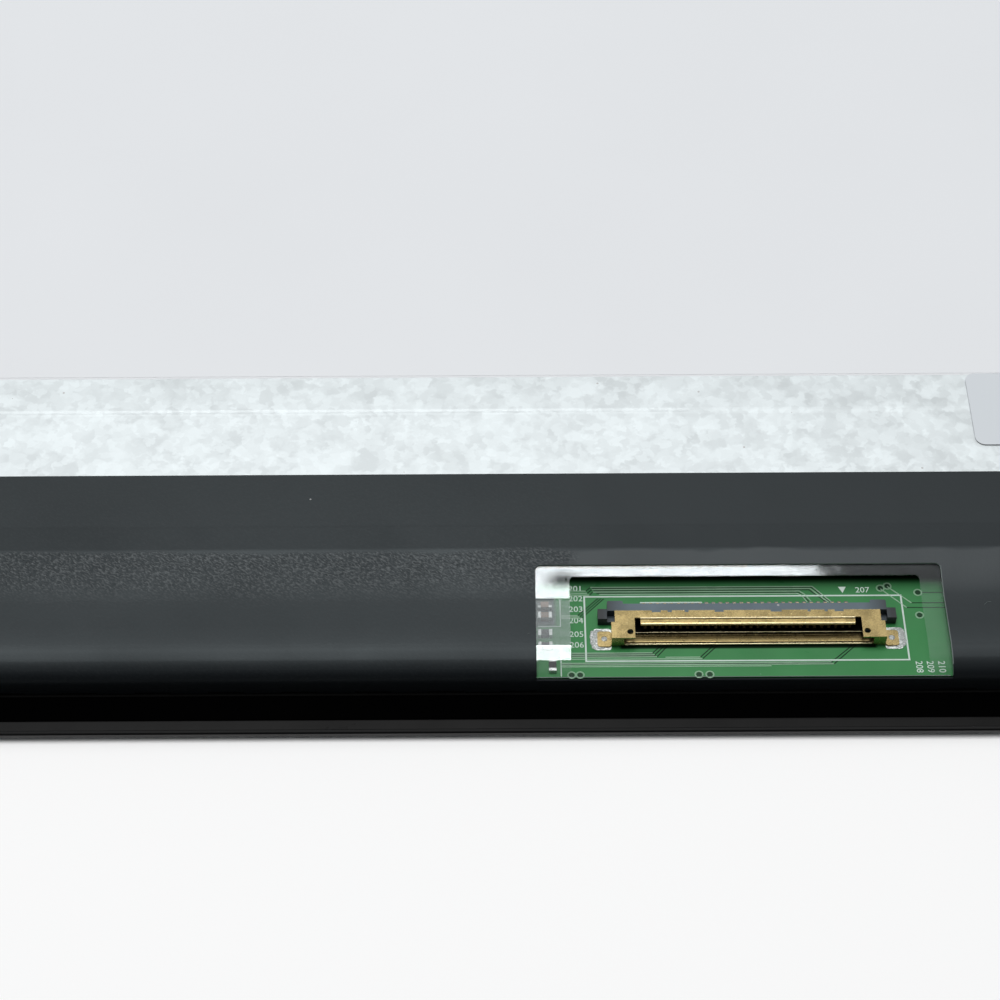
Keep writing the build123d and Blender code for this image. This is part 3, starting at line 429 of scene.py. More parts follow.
# Galvanised steel: feathery crystals that differ in tone, gloss and tilt
steel = {
    "metallic": 0.45,
    "cell": 620.0,
    "finer": 2.7,
    "feather": 1500.0,
    "warp": 1.3 * mm,
    "base": (0.735, 0.788, 0.803),
    "spread": 0.13,
    "soft": 0.45,
    "gloss": (0.42, 0.62),
    "depth": 0.004 * mm,
    "beadLows": (27.0, 27.9),
    "beadSoft": 0.2,
    "beadFlat": 0.78,
    # Painted shade and highlight in rows across the bead
    "rows": [
        (20.0, 0.955), (27.0, 0.955), (27.15, 1.0), (27.42, 1.0),
        (27.5, 0.97), (27.62, 0.97), (27.75, 0.92), (31.2, 0.905),
    ],
}


def makeSteel(settings):
    material, tree, shader, coords = newMaterial("galvanisedSteel", {"Metallic": settings["metallic"]})
    shaken = noiseOf(tree, coords, settings["feather"], detail=4.0, output="Color")
    centred = vectorMaths(tree, "SUBTRACT", shaken, (0.5, 0.5, 0.5))
    pushed = vectorMaths(tree, "MULTIPLY", centred, (settings["warp"],) * 3)
    warped = vectorMaths(tree, "ADD", coords, pushed)
    picks = []
    for finer, channel in ((1.0, "Red"), (settings["finer"], "Green")):
        values = {"Vector": warped, "Scale": settings["cell"] * finer, "Smoothness": settings["soft"]}
        crystals = addNode(tree, "TexVoronoi", values, feature="SMOOTH_F1")
        picks.append(addNode(tree, "SeparateColor", {"Color": crystals.outputs["Color"]}).outputs[channel])
    half = times(tree, maths(tree, "ADD", *picks), 0.5)
    low, middle, high = (shade(settings["base"], 1 + settings["spread"] * step) for step in (-1, 0, 1))
    body = ramp(tree, half, [(0.1, low), (0.5, middle), (0.9, high)])
    # Painted shade and highlight: the colour dims by rows along the low, lightest on the bead
    shaded = mixColour(tree, 1.0, body, alongLow(tree, coords, settings["rows"]), "MULTIPLY")
    feed(tree, shader, colour=dusted(tree, coords, shaded, grey(0.5), amount=0.02, scale=1300.0, size=0.12))
    feed(tree, shader, roughness=mapped(tree, half, target=settings["gloss"]))
    fine = bump(tree, shader, half, settings["depth"])
    bead = bandY(tree, coords, settings["beadLows"], settings["beadSoft"])
    flatten(tree, fine, times(tree, bead, settings["beadFlat"]))
    return material


# Black cover film: satin, with leather grain where it slopes to the board, painted glints on that slope and a
# painted sheen down its bends
filmFinish = {
    "colour": (0.006, 0.0075, 0.009),
    "dark": 0.85,
    "light": 1.15,
    "roughness": 0.5,
    "marks": (0.04, 0.05),
    "specular": 0.4,
    "tint": (0.84, 0.96, 1.0, 1.0),
    "grainScale": 3400.0,
    "patchScale": 260.0,
    "grainDepth": 0.006 * mm,
    "leatherScale": 7500.0,
    "leatherStretch": (1.8, 0.85, 1.0),
    "leatherTurn": (0, 0, math.radians(-32)),
    "leatherSides": (-1000.0, -12.7),
    "leatherFade": 1.0,
    "leatherDepth": 0.07 * mm,
    "leatherRows": [
        (3.0, 0.04), (9.9, 0.04), (10.8, 0.2), (11.8, 0.7),
        (13.2, 1.0), (14.35, 1.0), (14.6, 0.06), (21.1, 0.04),
    ],
    "wanderScale": 160.0,
    "wander": (0.0, 1.2 * mm, 0.0),
    "glint": (0.46, 0.72),
    "smoothSlope": 0.3,
    "paintedGlint": (0.095, 0.1, 0.103, 1.0),
    "window": {"sides": (-15.1, 14.2), "lows": (3.6, 12.7)},
    "upright": (-0.3, 0.3, 0.1),
    "cutEdge": tone(150, 160, 158),
    "paintedSheenTop": 1.25,
    # Painted sheen: the specular strength by low, shading the film's bends
    "paintedSheen": [
        (3.3, 0.33), (3.8, 0.33), (4.1, 0.22), (4.35, 0.38), (4.6, 0.64), (4.75, 0.86), (4.95, 0.84),
        (5.2, 0.94), (5.45, 1.06), (5.72, 0.95), (5.98, 1.18), (6.6, 1.06), (7.6, 0.97), (9.75, 1.02),
        (9.9, 0.88), (10.06, 0.78), (10.8, 0.9), (11.8, 0.98), (13.9, 1.0), (14.1, 0.82), (15.9, 0.84),
        (16.1, 0.92), (16.25, 1.0), (21.1, 1.0),
    ],
}


def addLeather(tree, coords, settings):
    # The leather's noise, and the band of the film that it covers
    turn, stretch = settings["leatherTurn"], settings["leatherStretch"]
    values = {"Vector": coords, "Rotation": turn, "Scale": stretch}
    drawn = addNode(tree, "Mapping", values, vector_type="TEXTURE").outputs[0]
    leather = noiseOf(tree, drawn, settings["leatherScale"], detail=2.0)
    drift = noiseOf(tree, coords, settings["wanderScale"], detail=2.0, output="Color")
    strayed = vectorMaths(tree, "ADD", coords, vectorMaths(tree, "MULTIPLY", drift, settings["wander"]))
    return leather, alongLow(tree, strayed, settings["leatherRows"])


def makeFilmBlack(settings):
    material, tree, shader, coords = newMaterial("coverFilmBlack", {"Specular Tint": settings["tint"]})
    scales = {"Scale": settings["grainScale"], "Patch Scale": settings["patchScale"]}
    grain = useGroup(tree, grainGroup, {"Vector": coords, **scales})
    leather, band = addLeather(tree, coords, settings)
    fade = bandX(tree, coords, settings["leatherSides"], settings["leatherFade"])
    # Painted sheen: the specular strength follows the low, to shade the film's bends
    top = settings["paintedSheenTop"]
    paintedSheen = alongLow(tree, coords, [(at, factor / top) for at, factor in settings["paintedSheen"]])
    feed(tree, shader, specular=times(tree, paintedSheen, settings["specular"] * top))

    dark, light = (shade(settings["colour"], settings[key]) for key in ("dark", "light"))
    body = mixColour(tree, grain["Patch"], dark, light)
    # Painted glints: a lighter colour mixed in where the leather noise is high, and at an even weaker level
    # over the smooth slope
    weaveAndGlint = mixValue(tree, fade, settings["smoothSlope"], mapped(tree, leather, settings["glint"]))
    lively = mixColour(tree, times(tree, weaveAndGlint, band), body, settings["paintedGlint"])
    dusty = dusted(tree, coords, lively, grey(0.3), amount=0.012, scale=700.0, size=0.05)
    # The window's upright cut faces: partly their own pale cut edge, partly painted light over their shade
    rise = axis(tree, addNode(tree, "NewGeometry").outputs["True Normal"], "Z")
    cut = times(tree, within(tree, rise, *settings["upright"]), area(tree, coords, settings["window"]))
    feed(tree, shader, colour=mixColour(tree, cut, dusty, settings["cutEdge"]))

    rough = settings["roughness"]
    under, over = settings["marks"]
    addMarks(tree, shader, coords, rough - under, rough + over, scale=90.0)
    fine = bump(tree, shader, grain["Height"], settings["grainDepth"])
    hide = times(tree, times(tree, maths(tree, "SUBTRACT", leather, 0.5), band), fade)
    coarse = addNode(tree, "Bump", {"Height": hide, "Distance": settings["leatherDepth"]})
    tree.links.new(coarse.outputs["Normal"], fine.inputs["Normal"])
    return material


# Board: green mask over fine glass weave, with painted shade under the film and a painted shadow before the
# connector
boardFinish = {"colour": tone(60, 136, 78), "dark": tone(48, 116, 64), "roughness": 0.34, "specular": 0.25}
boardShades = {
    "cloud": 300.0,
    "weave": 2600.0,
    "weaveDepth": 0.97,
    "dust": tone(150, 185, 160),
    # A darker patch at the left
    "darkPatch": {"sides": (-15.3, -13.75), "lows": (8.3, 11.2), "soft": (0.3, 0.3)},
    "darkPatchColour": tone(66, 82, 78),
    # Painted shade under the film, by rows along the low
    "rows": [
        (3.0, 1.0), (10.8, 1.0), (11.17, 0.86), (11.54, 0.68), (11.82, 0.46),
        (12.0, 0.22), (12.18, 0.07), (12.37, 0.015), (13.5, 0.01),
    ],
    # Painted shadow before the connector
    "under": {"sides": (-8.95, 8.95), "lows": (6.17, 6.8), "soft": (0.25, 0.12)},
    "strength": 0.94,
    "marks": (0.08, 0.1),
    "depth": 0.01 * mm,
}


def makeBoardGreen(name, finish, shades=boardShades):
    material, tree, shader, coords = newMaterial(name, {})
    cloud = noiseOf(tree, coords, shades["cloud"], detail=4.0)
    body = mixColour(tree, cloud, finish["dark"], finish["colour"])
    threads = (waveOf(tree, coords, shades["weave"], way) for way in "XY")
    weaveAndGlint = mixColour(tree, times(tree, *threads), grey(shades["weaveDepth"]), grey(1.0))
    woven = mixColour(tree, 1.0, body, weaveAndGlint, "MULTIPLY")
    dusty = dusted(tree, coords, woven, shades["dust"], amount=0.04, scale=1500.0)
    # A darker patch at the left
    patched = mixColour(tree, area(tree, coords, shades["darkPatch"]), dusty, shades["darkPatchColour"])
    # Painted shade under the film, by rows along the low
    rows = alongLow(tree, coords, shades["rows"])
    shaded = mixColour(tree, 1.0, patched, rows, "MULTIPLY")
    # Painted shadow before the connector, which also takes away the specular along with the shade under the
    # film
    under = times(tree, area(tree, coords, shades["under"]), shades["strength"])
    feed(tree, shader, colour=mixColour(tree, under, shaded, grey(0.003)))
    clear = times(tree, rows, maths(tree, "SUBTRACT", 1.0, under))
    feed(tree, shader, specular=times(tree, clear, finish["specular"]))
    less, more = shades["marks"]
    addMarks(tree, shader, coords, finish["roughness"] - less, finish["roughness"] + more, scale=400.0)
    bump(tree, shader, cloud, shades["depth"])
    return material


# Thin gold plate: speckled, with the base metal's fine grain
gold = {
    "fine": 9000.0,
    "slow": 1100.0,
    "dark": 0.72,
    "light": 1.12,
    "speckScale": 4200.0,
    "speck": tone(236, 214, 160),
    "mottle": 5200.0,
    "softened": 0.9,
    "deepSoft": 0.04 * mm,
    "sideSoft": 0.1,
    "middle": (0.3, 0.7),
    "marks": (0.06, 0.08),
}


def makeGold(name, colour, rough, depth, specks=0.0, rows=None):
    material, tree, shader, coords = newMaterial(name, {"Metallic": 1.0})
    fine = noiseOf(tree, coords, gold["fine"], detail=3.0)
    dark, light = shade(colour, gold["dark"]), shade(colour, gold["light"])
    body = ramp(tree, fine, [(0.3, dark), (0.5, colour), (0.68, light)])
    shown = dusted(tree, coords, body, gold["speck"], amount=specks, scale=gold["speckScale"], size=0.2)
    # Rows of painted shade, mottled, over the low inner part of the connector
    if rows:
        deep = within(tree, axis(tree, coords, "Z"), 0.0, boardZ + rows["top"] * mm, gold["deepSoft"])
        inside = bandX(tree, coords, (-rows["half"], rows["half"]), gold["sideSoft"])
        mixed = mapped(tree, noiseOf(tree, coords, gold["mottle"], detail=4.0), gold["middle"])
        dimmed = mixColour(tree, 1.0, shown, alongLow(tree, coords, rows["rows"]), "MULTIPLY")
        softened = mixColour(tree, gold["softened"], mixColour(tree, mixed, dimmed, shown), dimmed)
        shown = mixColour(tree, times(tree, deep, inside), shown, softened)
    less, more = gold["marks"]
    slow = noiseOf(tree, coords, gold["slow"], detail=3.0)
    gloss = mapped(tree, slow, gold["middle"], (rough - less, rough + more))
    feed(tree, shader, colour=shown, roughness=gloss)
    bump(tree, shader, fine, depth)
    return material


# The tray's rear half lies in the mouth's shade and is mottled
trayRows = {
    "top": 0.62,
    "half": 8.7,
    "rows": [
        (6.2, 0.3), (6.45, 0.3), (6.53, 0.36), (6.6, 0.95), (6.7, 0.8),
        (6.79, 0.36), (6.88, 0.34), (6.97, 0.3), (7.03, 0.03), (7.3, 0.0),
    ],
}
# The contacts are painted black with the shade inside the mouth
mouthShadeRows = {"top": 0.9, "half": 8.1, "rows": [(6.2, 0.03), (8.3, 0.03), (8.5, 1.0), (11.0, 1.0)]}

# Solder: dull tinned metal with a pitted skin
tin = {
    "detail": 5.0,
    "harsh": 0.65,
    "bright": grey(0.95),
    "middle": (0.3, 0.7),
    "marks": (0.12, 0.08),
    "depth": 0.01 * mm,
}
evenRows = [(0.0, 1.0), (20.0, 1.0)]
# The pin lands behind the connector's bar are darker in colour
landRows = [(3.0, 1.0), (9.6, 1.0), (9.75, 0.2), (13.0, 0.2)]


def makeSolder(name, colour, rough, scale, metallic=0.85, rows=evenRows, pit=0.55):
    material, tree, shader, coords = newMaterial(name, {"Metallic": metallic})
    pits = noiseOf(tree, coords, scale, tin["detail"], Roughness=tin["harsh"])
    body = ramp(tree, pits, [(0.36, shade(colour, pit)), (0.52, colour), (0.7, tin["bright"])])
    more, less = tin["marks"]
    gloss = mapped(tree, pits, tin["middle"], (rough + more, rough - less))
    darkened = mixColour(tree, 1.0, body, alongLow(tree, coords, rows), "MULTIPLY")
    feed(tree, shader, colour=darkened, roughness=gloss)
    bump(tree, shader, pits, tin["depth"])
    return material


# Connector housing: blue grey outside, with painted shade that darkens its ends and paints it black in the
# mouth's shade
housing = {
    "colour": tone(87, 102, 111),
    "mouth": {"sides": (-8.12, 8.12), "lows": (6.3, 8.4)},
    "mouthShade": grey(0.0015),
    "middle": (-8.3, 8.3),
    "middleSoft": 2.0,
    "endShade": 0.12,
    "specular": (0.4, 0.02),
}


def makeHousing(settings):
    material = mouldedPlastic("housingBlueGrey", settings["colour"], 0.45, 7000.0, 0.006 * mm, dust=0.03)
    tree = material.node_tree
    shader = tree.nodes["Principled BSDF"]
    coords = addNode(tree, "TexCoord").outputs["Object"]
    mouth = area(tree, coords, settings["mouth"])
    middle = bandX(tree, coords, settings["middle"], settings["middleSoft"])
    # Painted shade at the ends, painted black with little specular in the mouth
    ends = mapped(tree, middle, target=(settings["endShade"], 1.0))
    plain = shader.inputs["Base Color"].links[0].from_socket
    body = mixColour(tree, 1.0, plain, ends, "MULTIPLY")
    feed(tree, shader, colour=mixColour(tree, mouth, body, settings["mouthShade"]))
    feed(tree, shader, specular=mapped(tree, mouth, target=settings["specular"]))
    return material


# Amber flex with copper tracks running across it
flex = {
    "tracks": 700.0,
    "cloud": 180.0,
    "dark": (0.30, 0.14, 0.035, 1.0),
    "amber": (0.40, 0.20, 0.05, 1.0),
    "track": (0.52, 0.27, 0.10, 1.0),
    "depth": 0.005 * mm,
}


def makeFlex(settings):
    material, tree, shader, coords = newMaterial("flexAmber", {"Roughness": 0.3, "Coat Weight": 0.3})
    waves = waveOf(tree, coords, settings["tracks"], "X")
    edges = ramp(tree, waves, [(0.42, grey(0.0)), (0.5, grey(1.0))])
    cloud = noiseOf(tree, coords, settings["cloud"], detail=3.0)
    amber = mixColour(tree, cloud, settings["dark"], settings["amber"])
    feed(tree, shader, colour=mixColour(tree, edges, amber, settings["track"]))
    bump(tree, shader, waves, settings["depth"])
    return material


# Clear film round the connector: a weak mirror that lets the board through, its strength painted by region as
# a painted reflection of the light on its bends, with a dim patch at the upper left
clearFinish = {
    "colour": (0.92, 0.98, 1.0, 1.0),
    "slope": 0.058,
    "flatLeft": 0.22,
    "flatRight": 0.05,
    "flatLows": (5.9, 9.7),
    "leftSides": (-50.0, -12.4),
    "soft": 0.2,
    "dimCentre": (-13.0, 11.5),
    "dimSize": (1.15, 0.62),
    "dimTurn": (0, 0, math.radians(28)),
    "dimLevel": 0.14,
    "dimReach": (0.3, 1.6),
    "streak": 0.2,
    "streakRange": (0.75, 1.25),
    "streakScale": (500.0, 5200.0, 0.0),
    "streakTurn": (0, 0, math.radians(-24)),
    "speckle": 7000.0,
    "dust": 0.3,
    "waves": 420.0,
    "waveDepth": 0.004 * mm,
}


def addDimPatch(tree, coords, settings):
    # A dim patch in the painted reflection: low in its middle, 1 outside it
    away = vectorMaths(tree, "SUBTRACT", coords, spot(*settings["dimCentre"], 0))
    width, height = (1 / (size * mm) for size in settings["dimSize"])
    values = {"Vector": away, "Scale": (width, height, 0), "Rotation": settings["dimTurn"]}
    scaled = addNode(tree, "Mapping", values)
    reach = addNode(tree, "VectorMath", {0: scaled.outputs[0]}, operation="LENGTH").outputs["Value"]
    return mapped(tree, reach, settings["dimReach"], (settings["dimLevel"], 1.0))


def makeWindowFilm(settings):
    values = {"Metallic": 1.0, "Base Color": settings["colour"]}
    material, tree, shader, coords = newMaterial("windowFilmClear", values)
    # Painted reflection: the mirror's strength set by region, strongest on the flat left part
    left = bandX(tree, coords, settings["leftSides"], settings["soft"])
    flat = bandY(tree, coords, settings["flatLows"], settings["soft"])
    sides = mixValue(tree, left, settings["flatRight"], settings["flatLeft"])
    level = mixValue(tree, flat, settings["slope"], sides)
    dimLevel = addDimPatch(tree, coords, settings)

    values = {"Vector": coords, "Scale": settings["streakScale"], "Rotation": settings["streakTurn"]}
    drawn = addNode(tree, "Mapping", values).outputs[0]
    speckle = noiseOf(tree, coords, settings["speckle"], detail=2.0)
    both = maths(tree, "ADD", noiseOf(tree, drawn, 1.0, detail=3.0), speckle)
    streak = settings["streak"]
    uneven = mapped(tree, both, settings["streakRange"], (1 - streak, 1 + streak))
    mirrored = times(tree, times(tree, level, dimLevel), uneven)
    specks = useGroup(tree, dustGroup, {"Vector": coords, "Scale": 2200.0, "Amount": 0.03, "Size": 0.1})
    feed(tree, shader, alpha=mixValue(tree, specks["Mask"], mirrored, settings["dust"]))
    addMarks(tree, shader, coords, low=0.03, high=0.08, scale=900.0)
    bump(tree, shader, noiseOf(tree, coords, settings["waves"], detail=2.0), settings["waveDepth"])
    return material


def makeClear(name, colour, rough, scale):
    # Clear adhesive or acrylic with faint marks
    material, tree, shader, coords = newMaterial(name, {"Transmission Weight": 1.0, "IOR": 1.5})
    addMarks(tree, shader, coords, rough, rough + smooth["marks"][1], scale)
    cloud = noiseOf(tree, coords, scale, detail=2.0)
    feed(tree, shader, colour=mixColour(tree, cloud, colour, shade(colour, smooth["light"])))
    return material


# Cover glass: its colour is painted, dark under the black border and paler down its edge, a painted reflection
# of the pale floor
coverGlass = {
    "specular": 0.1,
    "rise": (0.02 * mm, 0.62 * mm),
    "stir": 0.12,
    "cloud": 2400.0,
    "paintedLight": (0.80, 0.84, 0.85, 1.0),
    "dark": (0.0006, 0.0006, 0.0007, 1.0),
    "stops": [(0.12, 1.0), (0.34, 0.6), (0.53, 0.12)],
    "darkFrom": 0.7,
    "clearOver": (0.12, 0.5),
    "clear": (0.15, 0.9),
}


def makeCoverGlass(settings):
    values = {"IOR": 1.5, "Specular IOR Level": settings["specular"]}
    material, tree, shader, coords = newMaterial("coverGlassClear", values)
    cloud = noiseOf(tree, coords, settings["cloud"], detail=3.0)
    rise = mapped(tree, axis(tree, coords, "Z"), settings["rise"])
    stirred = maths(tree, "MULTIPLY_ADD", cloud, settings["stir"], rise)
    # Painted colour down the glass: pale at its foot, dark under the border
    stops = [(at, shade(settings["paintedLight"], factor)) for at, factor in settings["stops"]]
    stops.append((settings["darkFrom"], settings["dark"]))
    clear = mapped(tree, stirred, settings["clearOver"], settings["clear"])
    feed(tree, shader, colour=ramp(tree, stirred, stops), transmission=clear)
    addMarks(tree, shader, coords, low=0.01, high=0.06, scale=40.0)
    return material


# Dark display films seen through the glass: a fine grid of picture cells
cellGrid = {"X": 1950.0, "Y": 650.0, "light": 1.5, "marks": 0.06, "coat": 0.4}


def makeCellGrid(name, colour, rough):
    material, tree, shader, coords = newMaterial(name, {"Coat Weight": cellGrid["coat"]})
    lines = times(tree, *(waveOf(tree, coords, cellGrid[way], way) for way in "XY"))
    feed(tree, shader, colour=mixColour(tree, lines, colour, shade(colour, cellGrid["light"])))
    addMarks(tree, shader, coords, rough, rough + cellGrid["marks"])
    return material


# Border ink: satin and dusty; its specular is painted off in a band behind the rim, a painted shade, so only
# the rim shines
border = {
    "specular": 0.09,
    "shine": [(0.0, 1.0), (1.0, 1.0), (1.15, 0.0), (3.6, 0.0), (3.7, 1.0)],
    "cloud": 500.0,
    "ink": (grey(0.005), grey(0.01)),
    "depth": 0.002 * mm,
}


def makeBorder(settings):
    material, tree, shader, coords = newMaterial("borderInk", {})
    # Painted shade: no specular from 1.15 to 3.6 mm
    shine = times(tree, alongLow(tree, coords, settings["shine"]), settings["specular"])
    cloud = noiseOf(tree, coords, settings["cloud"], detail=4.0)
    body = mixColour(tree, cloud, *settings["ink"])
    dusty = dusted(tree, coords, body, grey(0.2), amount=0.06, scale=800.0)
    feed(tree, shader, colour=dusty, specular=shine)
    addMarks(tree, shader, coords, low=0.26, high=0.42, scale=150.0)
    bump(tree, shader, cloud, settings["depth"])
    return material


# Foam and tape: black, made dead black with almost no specular as painted shade, so that no edge of them
# shines
tape = {
    "colour": (0.0004, 0.0004, 0.00045, 1.0),
    "rough": 0.8,
    "scale": 3500.0,
    "depth": 0.02 * mm,
    "dustColour": grey(0.02),
    "specular": 0.005,
}
# Each call gives its name, colour and roughness, then the scale and depth of its grain
finishes = {
    "clear_glass": makeCoverGlass(coverGlass),
    "cell_glass": makeCellGrid("cellGlassDark", (0.02, 0.022, 0.026, 1.0), 0.12),
    "clear_film": makeClear("innerFilmClear", (0.93, 0.95, 0.96, 1.0), 0.03, 60.0),
    "border_black": makeBorder(border),
    "polarizer": makeCellGrid("polarizerDark", (0.014, 0.014, 0.018, 1.0), 0.2),
    "frame_black": mouldedPlastic("mouldFrameBlack", (0.012, 0.012, 0.013, 1.0), 0.5, 5000.0, 0.008 * mm),
    "tape_black": mouldedPlastic("tapeAndFoamBlack", **tape),
    "sheet_white": plainFilm("backSheetWhite", (0.80, 0.82, 0.845, 1.0), 0.42, specular=0.35, flat=0.85),
    "sheet_haze": plainFilm("opticalSheetHaze", (0.72, 0.75, 0.77, 1.0), 0.3),
    "guide_clear": makeClear("lightGuideClear", (0.92, 0.95, 0.96, 1.0), 0.04, 300.0),
    "steel": makeSteel(steel),
    "film_black": makeFilmBlack(filmFinish),
    "label_pale": plainFilm("labelPale", (0.66, 0.70, 0.735, 1.0), 0.4, specular=0.35, flat=0.8),
    "board_green": makeBoardGreen("boardGreen", boardFinish),
    "print_white": mouldedPlastic("boardPrintWhite", tone(196, 212, 204), 0.5, 9000.0, 0.004 * mm, dust=0),
    "solder": makeSolder("solderBright", tone(208, 214, 212), 0.34, 5200.0, rows=landRows),
    "gold_shell": makeGold("goldShell", (0.445, 0.342, 0.155, 1.0), 0.26, 0.0025 * mm, 0.04, trayRows),
    "contact_gold": makeGold("contactGold", (0.75, 0.56, 0.26, 1.0), 0.22, 0.001 * mm, 0.0, mouthShadeRows),
    "housing_grey": makeHousing(housing),
    "flex_amber": makeFlex(flex),
    "ceramic_tan": mouldedPlastic("ceramicTan", tone(150, 128, 112), 0.45, 9000.0, 0.004 * mm, dust=0),
    "chip_black": mouldedPlastic("chipResinBlack", (0.02, 0.02, 0.021, 1.0), 0.5, 8000.0, 0.005 * mm),
    "led_white": plainFilm("lampWhite", (0.82, 0.80, 0.62, 1.0), 0.25),
}
windowFilmClear = makeWindowFilm(clearFinish)

for part in frame["record"]["subparts"]:
    node = nodes[part["node"]]
    finish = finishes[part["material_slot"]]
    if part["node"] == "window_film":
        finish = windowFilmClear
    node.data.materials.clear()
    node.data.materials.append(finish)
print("stage: materials on the frame's nodes")


# Pieces added on the board
def pick(*pieces):
    bpy.ops.object.select_all(action="DESELECT")
    for piece in pieces:
        piece.select_set(True)
    bpy.context.view_layer.objects.active = pieces[0]


def settle(piece, name, material):
    # Puts a finished piece's place in its mesh, names it and lets it ride on the part
    pick(piece)
    bpy.ops.object.transform_apply()
    piece.name = name
    piece.data.name = name
    piece.data.materials.clear()
    piece.data.materials.append(material)
    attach(piece, "root")
    piece.select_set(False)


def joinAll(pieces):
    pick(*pieces)
    bpy.ops.object.transform_apply()
    bpy.ops.object.join()
    return bpy.context.object


# Copper tracks under the mask, as (x, low) points in mm: the lit ones in painted highlight, the shaded ones in
# painted shade
tracks = {
    "halfWidth": 0.05 * mm,
    "rise": 0.35,
    "shadedWidth": 0.9,
    "shadedRise": 0.8,
    "paintedLight": [
        [(-12.9, 11.29), (-11.37, 11.29)],
        [(-12.9, 11.09), (-11.27, 11.09)],
        [(-12.9, 10.92), (-11.12, 10.92)],
        [(-11.03, 11.62), (4.95, 11.62), (5.83, 10.62), (6.25, 10.16)],
        [(-10.93, 11.42), (4.8, 11.42), (5.66, 10.5), (6.02, 10.16)],
        [(-10.86, 11.2), (4.0, 11.2), (4.35, 10.9), (4.81, 10.17)],
        [(-10.4, 10.98), (3.8, 10.98), (4.1, 10.85), (4.5, 10.17)],
        [(-12.0, 9.08), (-13.29, 9.08)],
        [(-11.87, 8.96), (-13.29, 8.96)],
        [(-11.74, 8.84), (-13.29, 8.84)],
        [(-13.4, 5.75), (-6.8, 5.75)],
        [(-13.4, 5.58), (-6.66, 5.58)],
        [(-13.4, 5.41), (-6.5, 5.41)],
        [(-5.9, 5.36), (-3.45, 5.36)],
        [(-13.4, 5.22), (-3.31, 5.22)],
        [(-13.33, 4.87), (5.73, 4.87)],
        [(-13.33, 4.72), (5.9, 4.72)],
        [(-13.33, 4.57), (1.5, 4.57)],
        [(9.85, 11.36), (11.55, 9.66)],
        [(10.36, 11.56), (11.94, 10.08)],
    ],
    "shaded": [
        [(-11.37, 11.29), (-11.03, 11.62)],
        [(-11.27, 11.09), (-10.93, 11.42)],
        [(-11.12, 10.92), (-10.86, 11.2)],
        [(-10.9, 11.52), (4.92, 11.52), (6.12, 10.2)],
        [(-10.8, 11.31), (4.7, 11.31), (5.84, 10.2)],
        [(-10.6, 11.09), (3.95, 11.09), (4.65, 10.2)],
        [(-10.51, 10.62), (-12.0, 9.08)],
        [(-10.3, 10.6), (-11.87, 8.96)],
        [(-10.1, 10.58), (-11.74, 8.84)],
        [(-13.4, 5.66), (-6.75, 5.66)],
        [(-13.4, 5.5), (-6.58, 5.5)],
        [(-6.8, 5.75), (-6.2, 6.35)],
        [(-6.66, 5.58), (-5.95, 6.35)],
        [(-6.5, 5.41), (-5.72, 6.35)],
        [(-3.45, 5.36), (-2.5, 6.35)],
        [(-3.31, 5.22), (-2.2, 6.35)],
        [(-13.33, 4.8), (5.8, 4.8)],
        [(5.73, 4.87), (7.35, 6.35)],
        [(5.9, 4.72), (7.6, 6.35)],
        [(11.55, 9.66), (14.6, 9.66)],
        [(11.94, 10.08), (14.6, 10.08)],
        [(12.81, 11.01), (14.6, 11.01)],
    ],
}


def addLines(name, routes, halfWidth, rise=1.0, height=0.0):
    # Round lines along routes of (x, low) or (x, low, z) points, flattened by rise
    curve = bpy.data.curves.new(name, "CURVE")
    curve.dimensions = "3D"
    curve.bevel_depth = halfWidth
    curve.bevel_resolution = 2
    curve.use_fill_caps = True
    for route in routes:
        spline = curve.splines.new("POLY")
        spline.points.add(len(route) - 1)
        for point, (x, low, *up) in zip(spline.points, route):
            at = spot(x, low, up[0] if up else 0.0)
            point.co = (at.x, at.y, at.z, 1)
    piece = bpy.data.objects.new(name, curve)
    bpy.context.scene.collection.objects.link(piece)
    pick(piece)
    bpy.ops.object.convert(target="MESH")
    piece = bpy.context.object
    piece.scale.z = rise
    piece.location.z = height
    return piece


# Lit and shaded copies of the board's finish: painted highlight and painted shade on the tracks
paintedHighlightFinish = {"colour": tone(150, 184, 156), "dark": tone(112, 158, 122), "roughness": 0.3, "specular": 0.4}
paintedShadeFinish = {"colour": tone(26, 66, 38), "dark": tone(16, 44, 26), "roughness": 0.4, "specular": 0.2}
trackPaintedHighlight = makeBoardGreen("trackPaintedHighlight", paintedHighlightFinish)
trackPaintedShade = makeBoardGreen("trackPaintedShade", paintedShadeFinish)


def addTracks(settings):
    width, rise = settings["halfWidth"], settings["rise"]
    paintedLight = addLines("tracksPaintedHighlight", settings["paintedLight"], width, rise, boardZ)
    settle(paintedLight, "tracksPaintedHighlight", trackPaintedHighlight)
    width *= settings["shadedWidth"]
    rise *= settings["shadedRise"]
    shaded = addLines("tracksShaded", settings["shaded"], width, rise, boardZ)
    settle(shaded, "tracksShaded", trackPaintedShade)


addTracks(tracks)

# Vias: a raised ring round each hole, the ring in the tracks' painted highlight and the hole a dark disc of
# painted shade
vias = {
    "radius": 0.27 * mm,
    "ring": 0.055 * mm,
    "hole": 0.19 * mm,
    "holeDepth": 0.02 * mm,
    "flat": 0.4,
    "sides": 28,
    "ringSides": 8,
    "spots": [
        (-12.54, 3.86), (-11.95, 3.86), (-3.63, 3.86), (-2.87, 3.86),
        (9.85, 11.42), (10.36, 11.6), (12.5, 11.01), (12.4, 8.97),
    ],
}


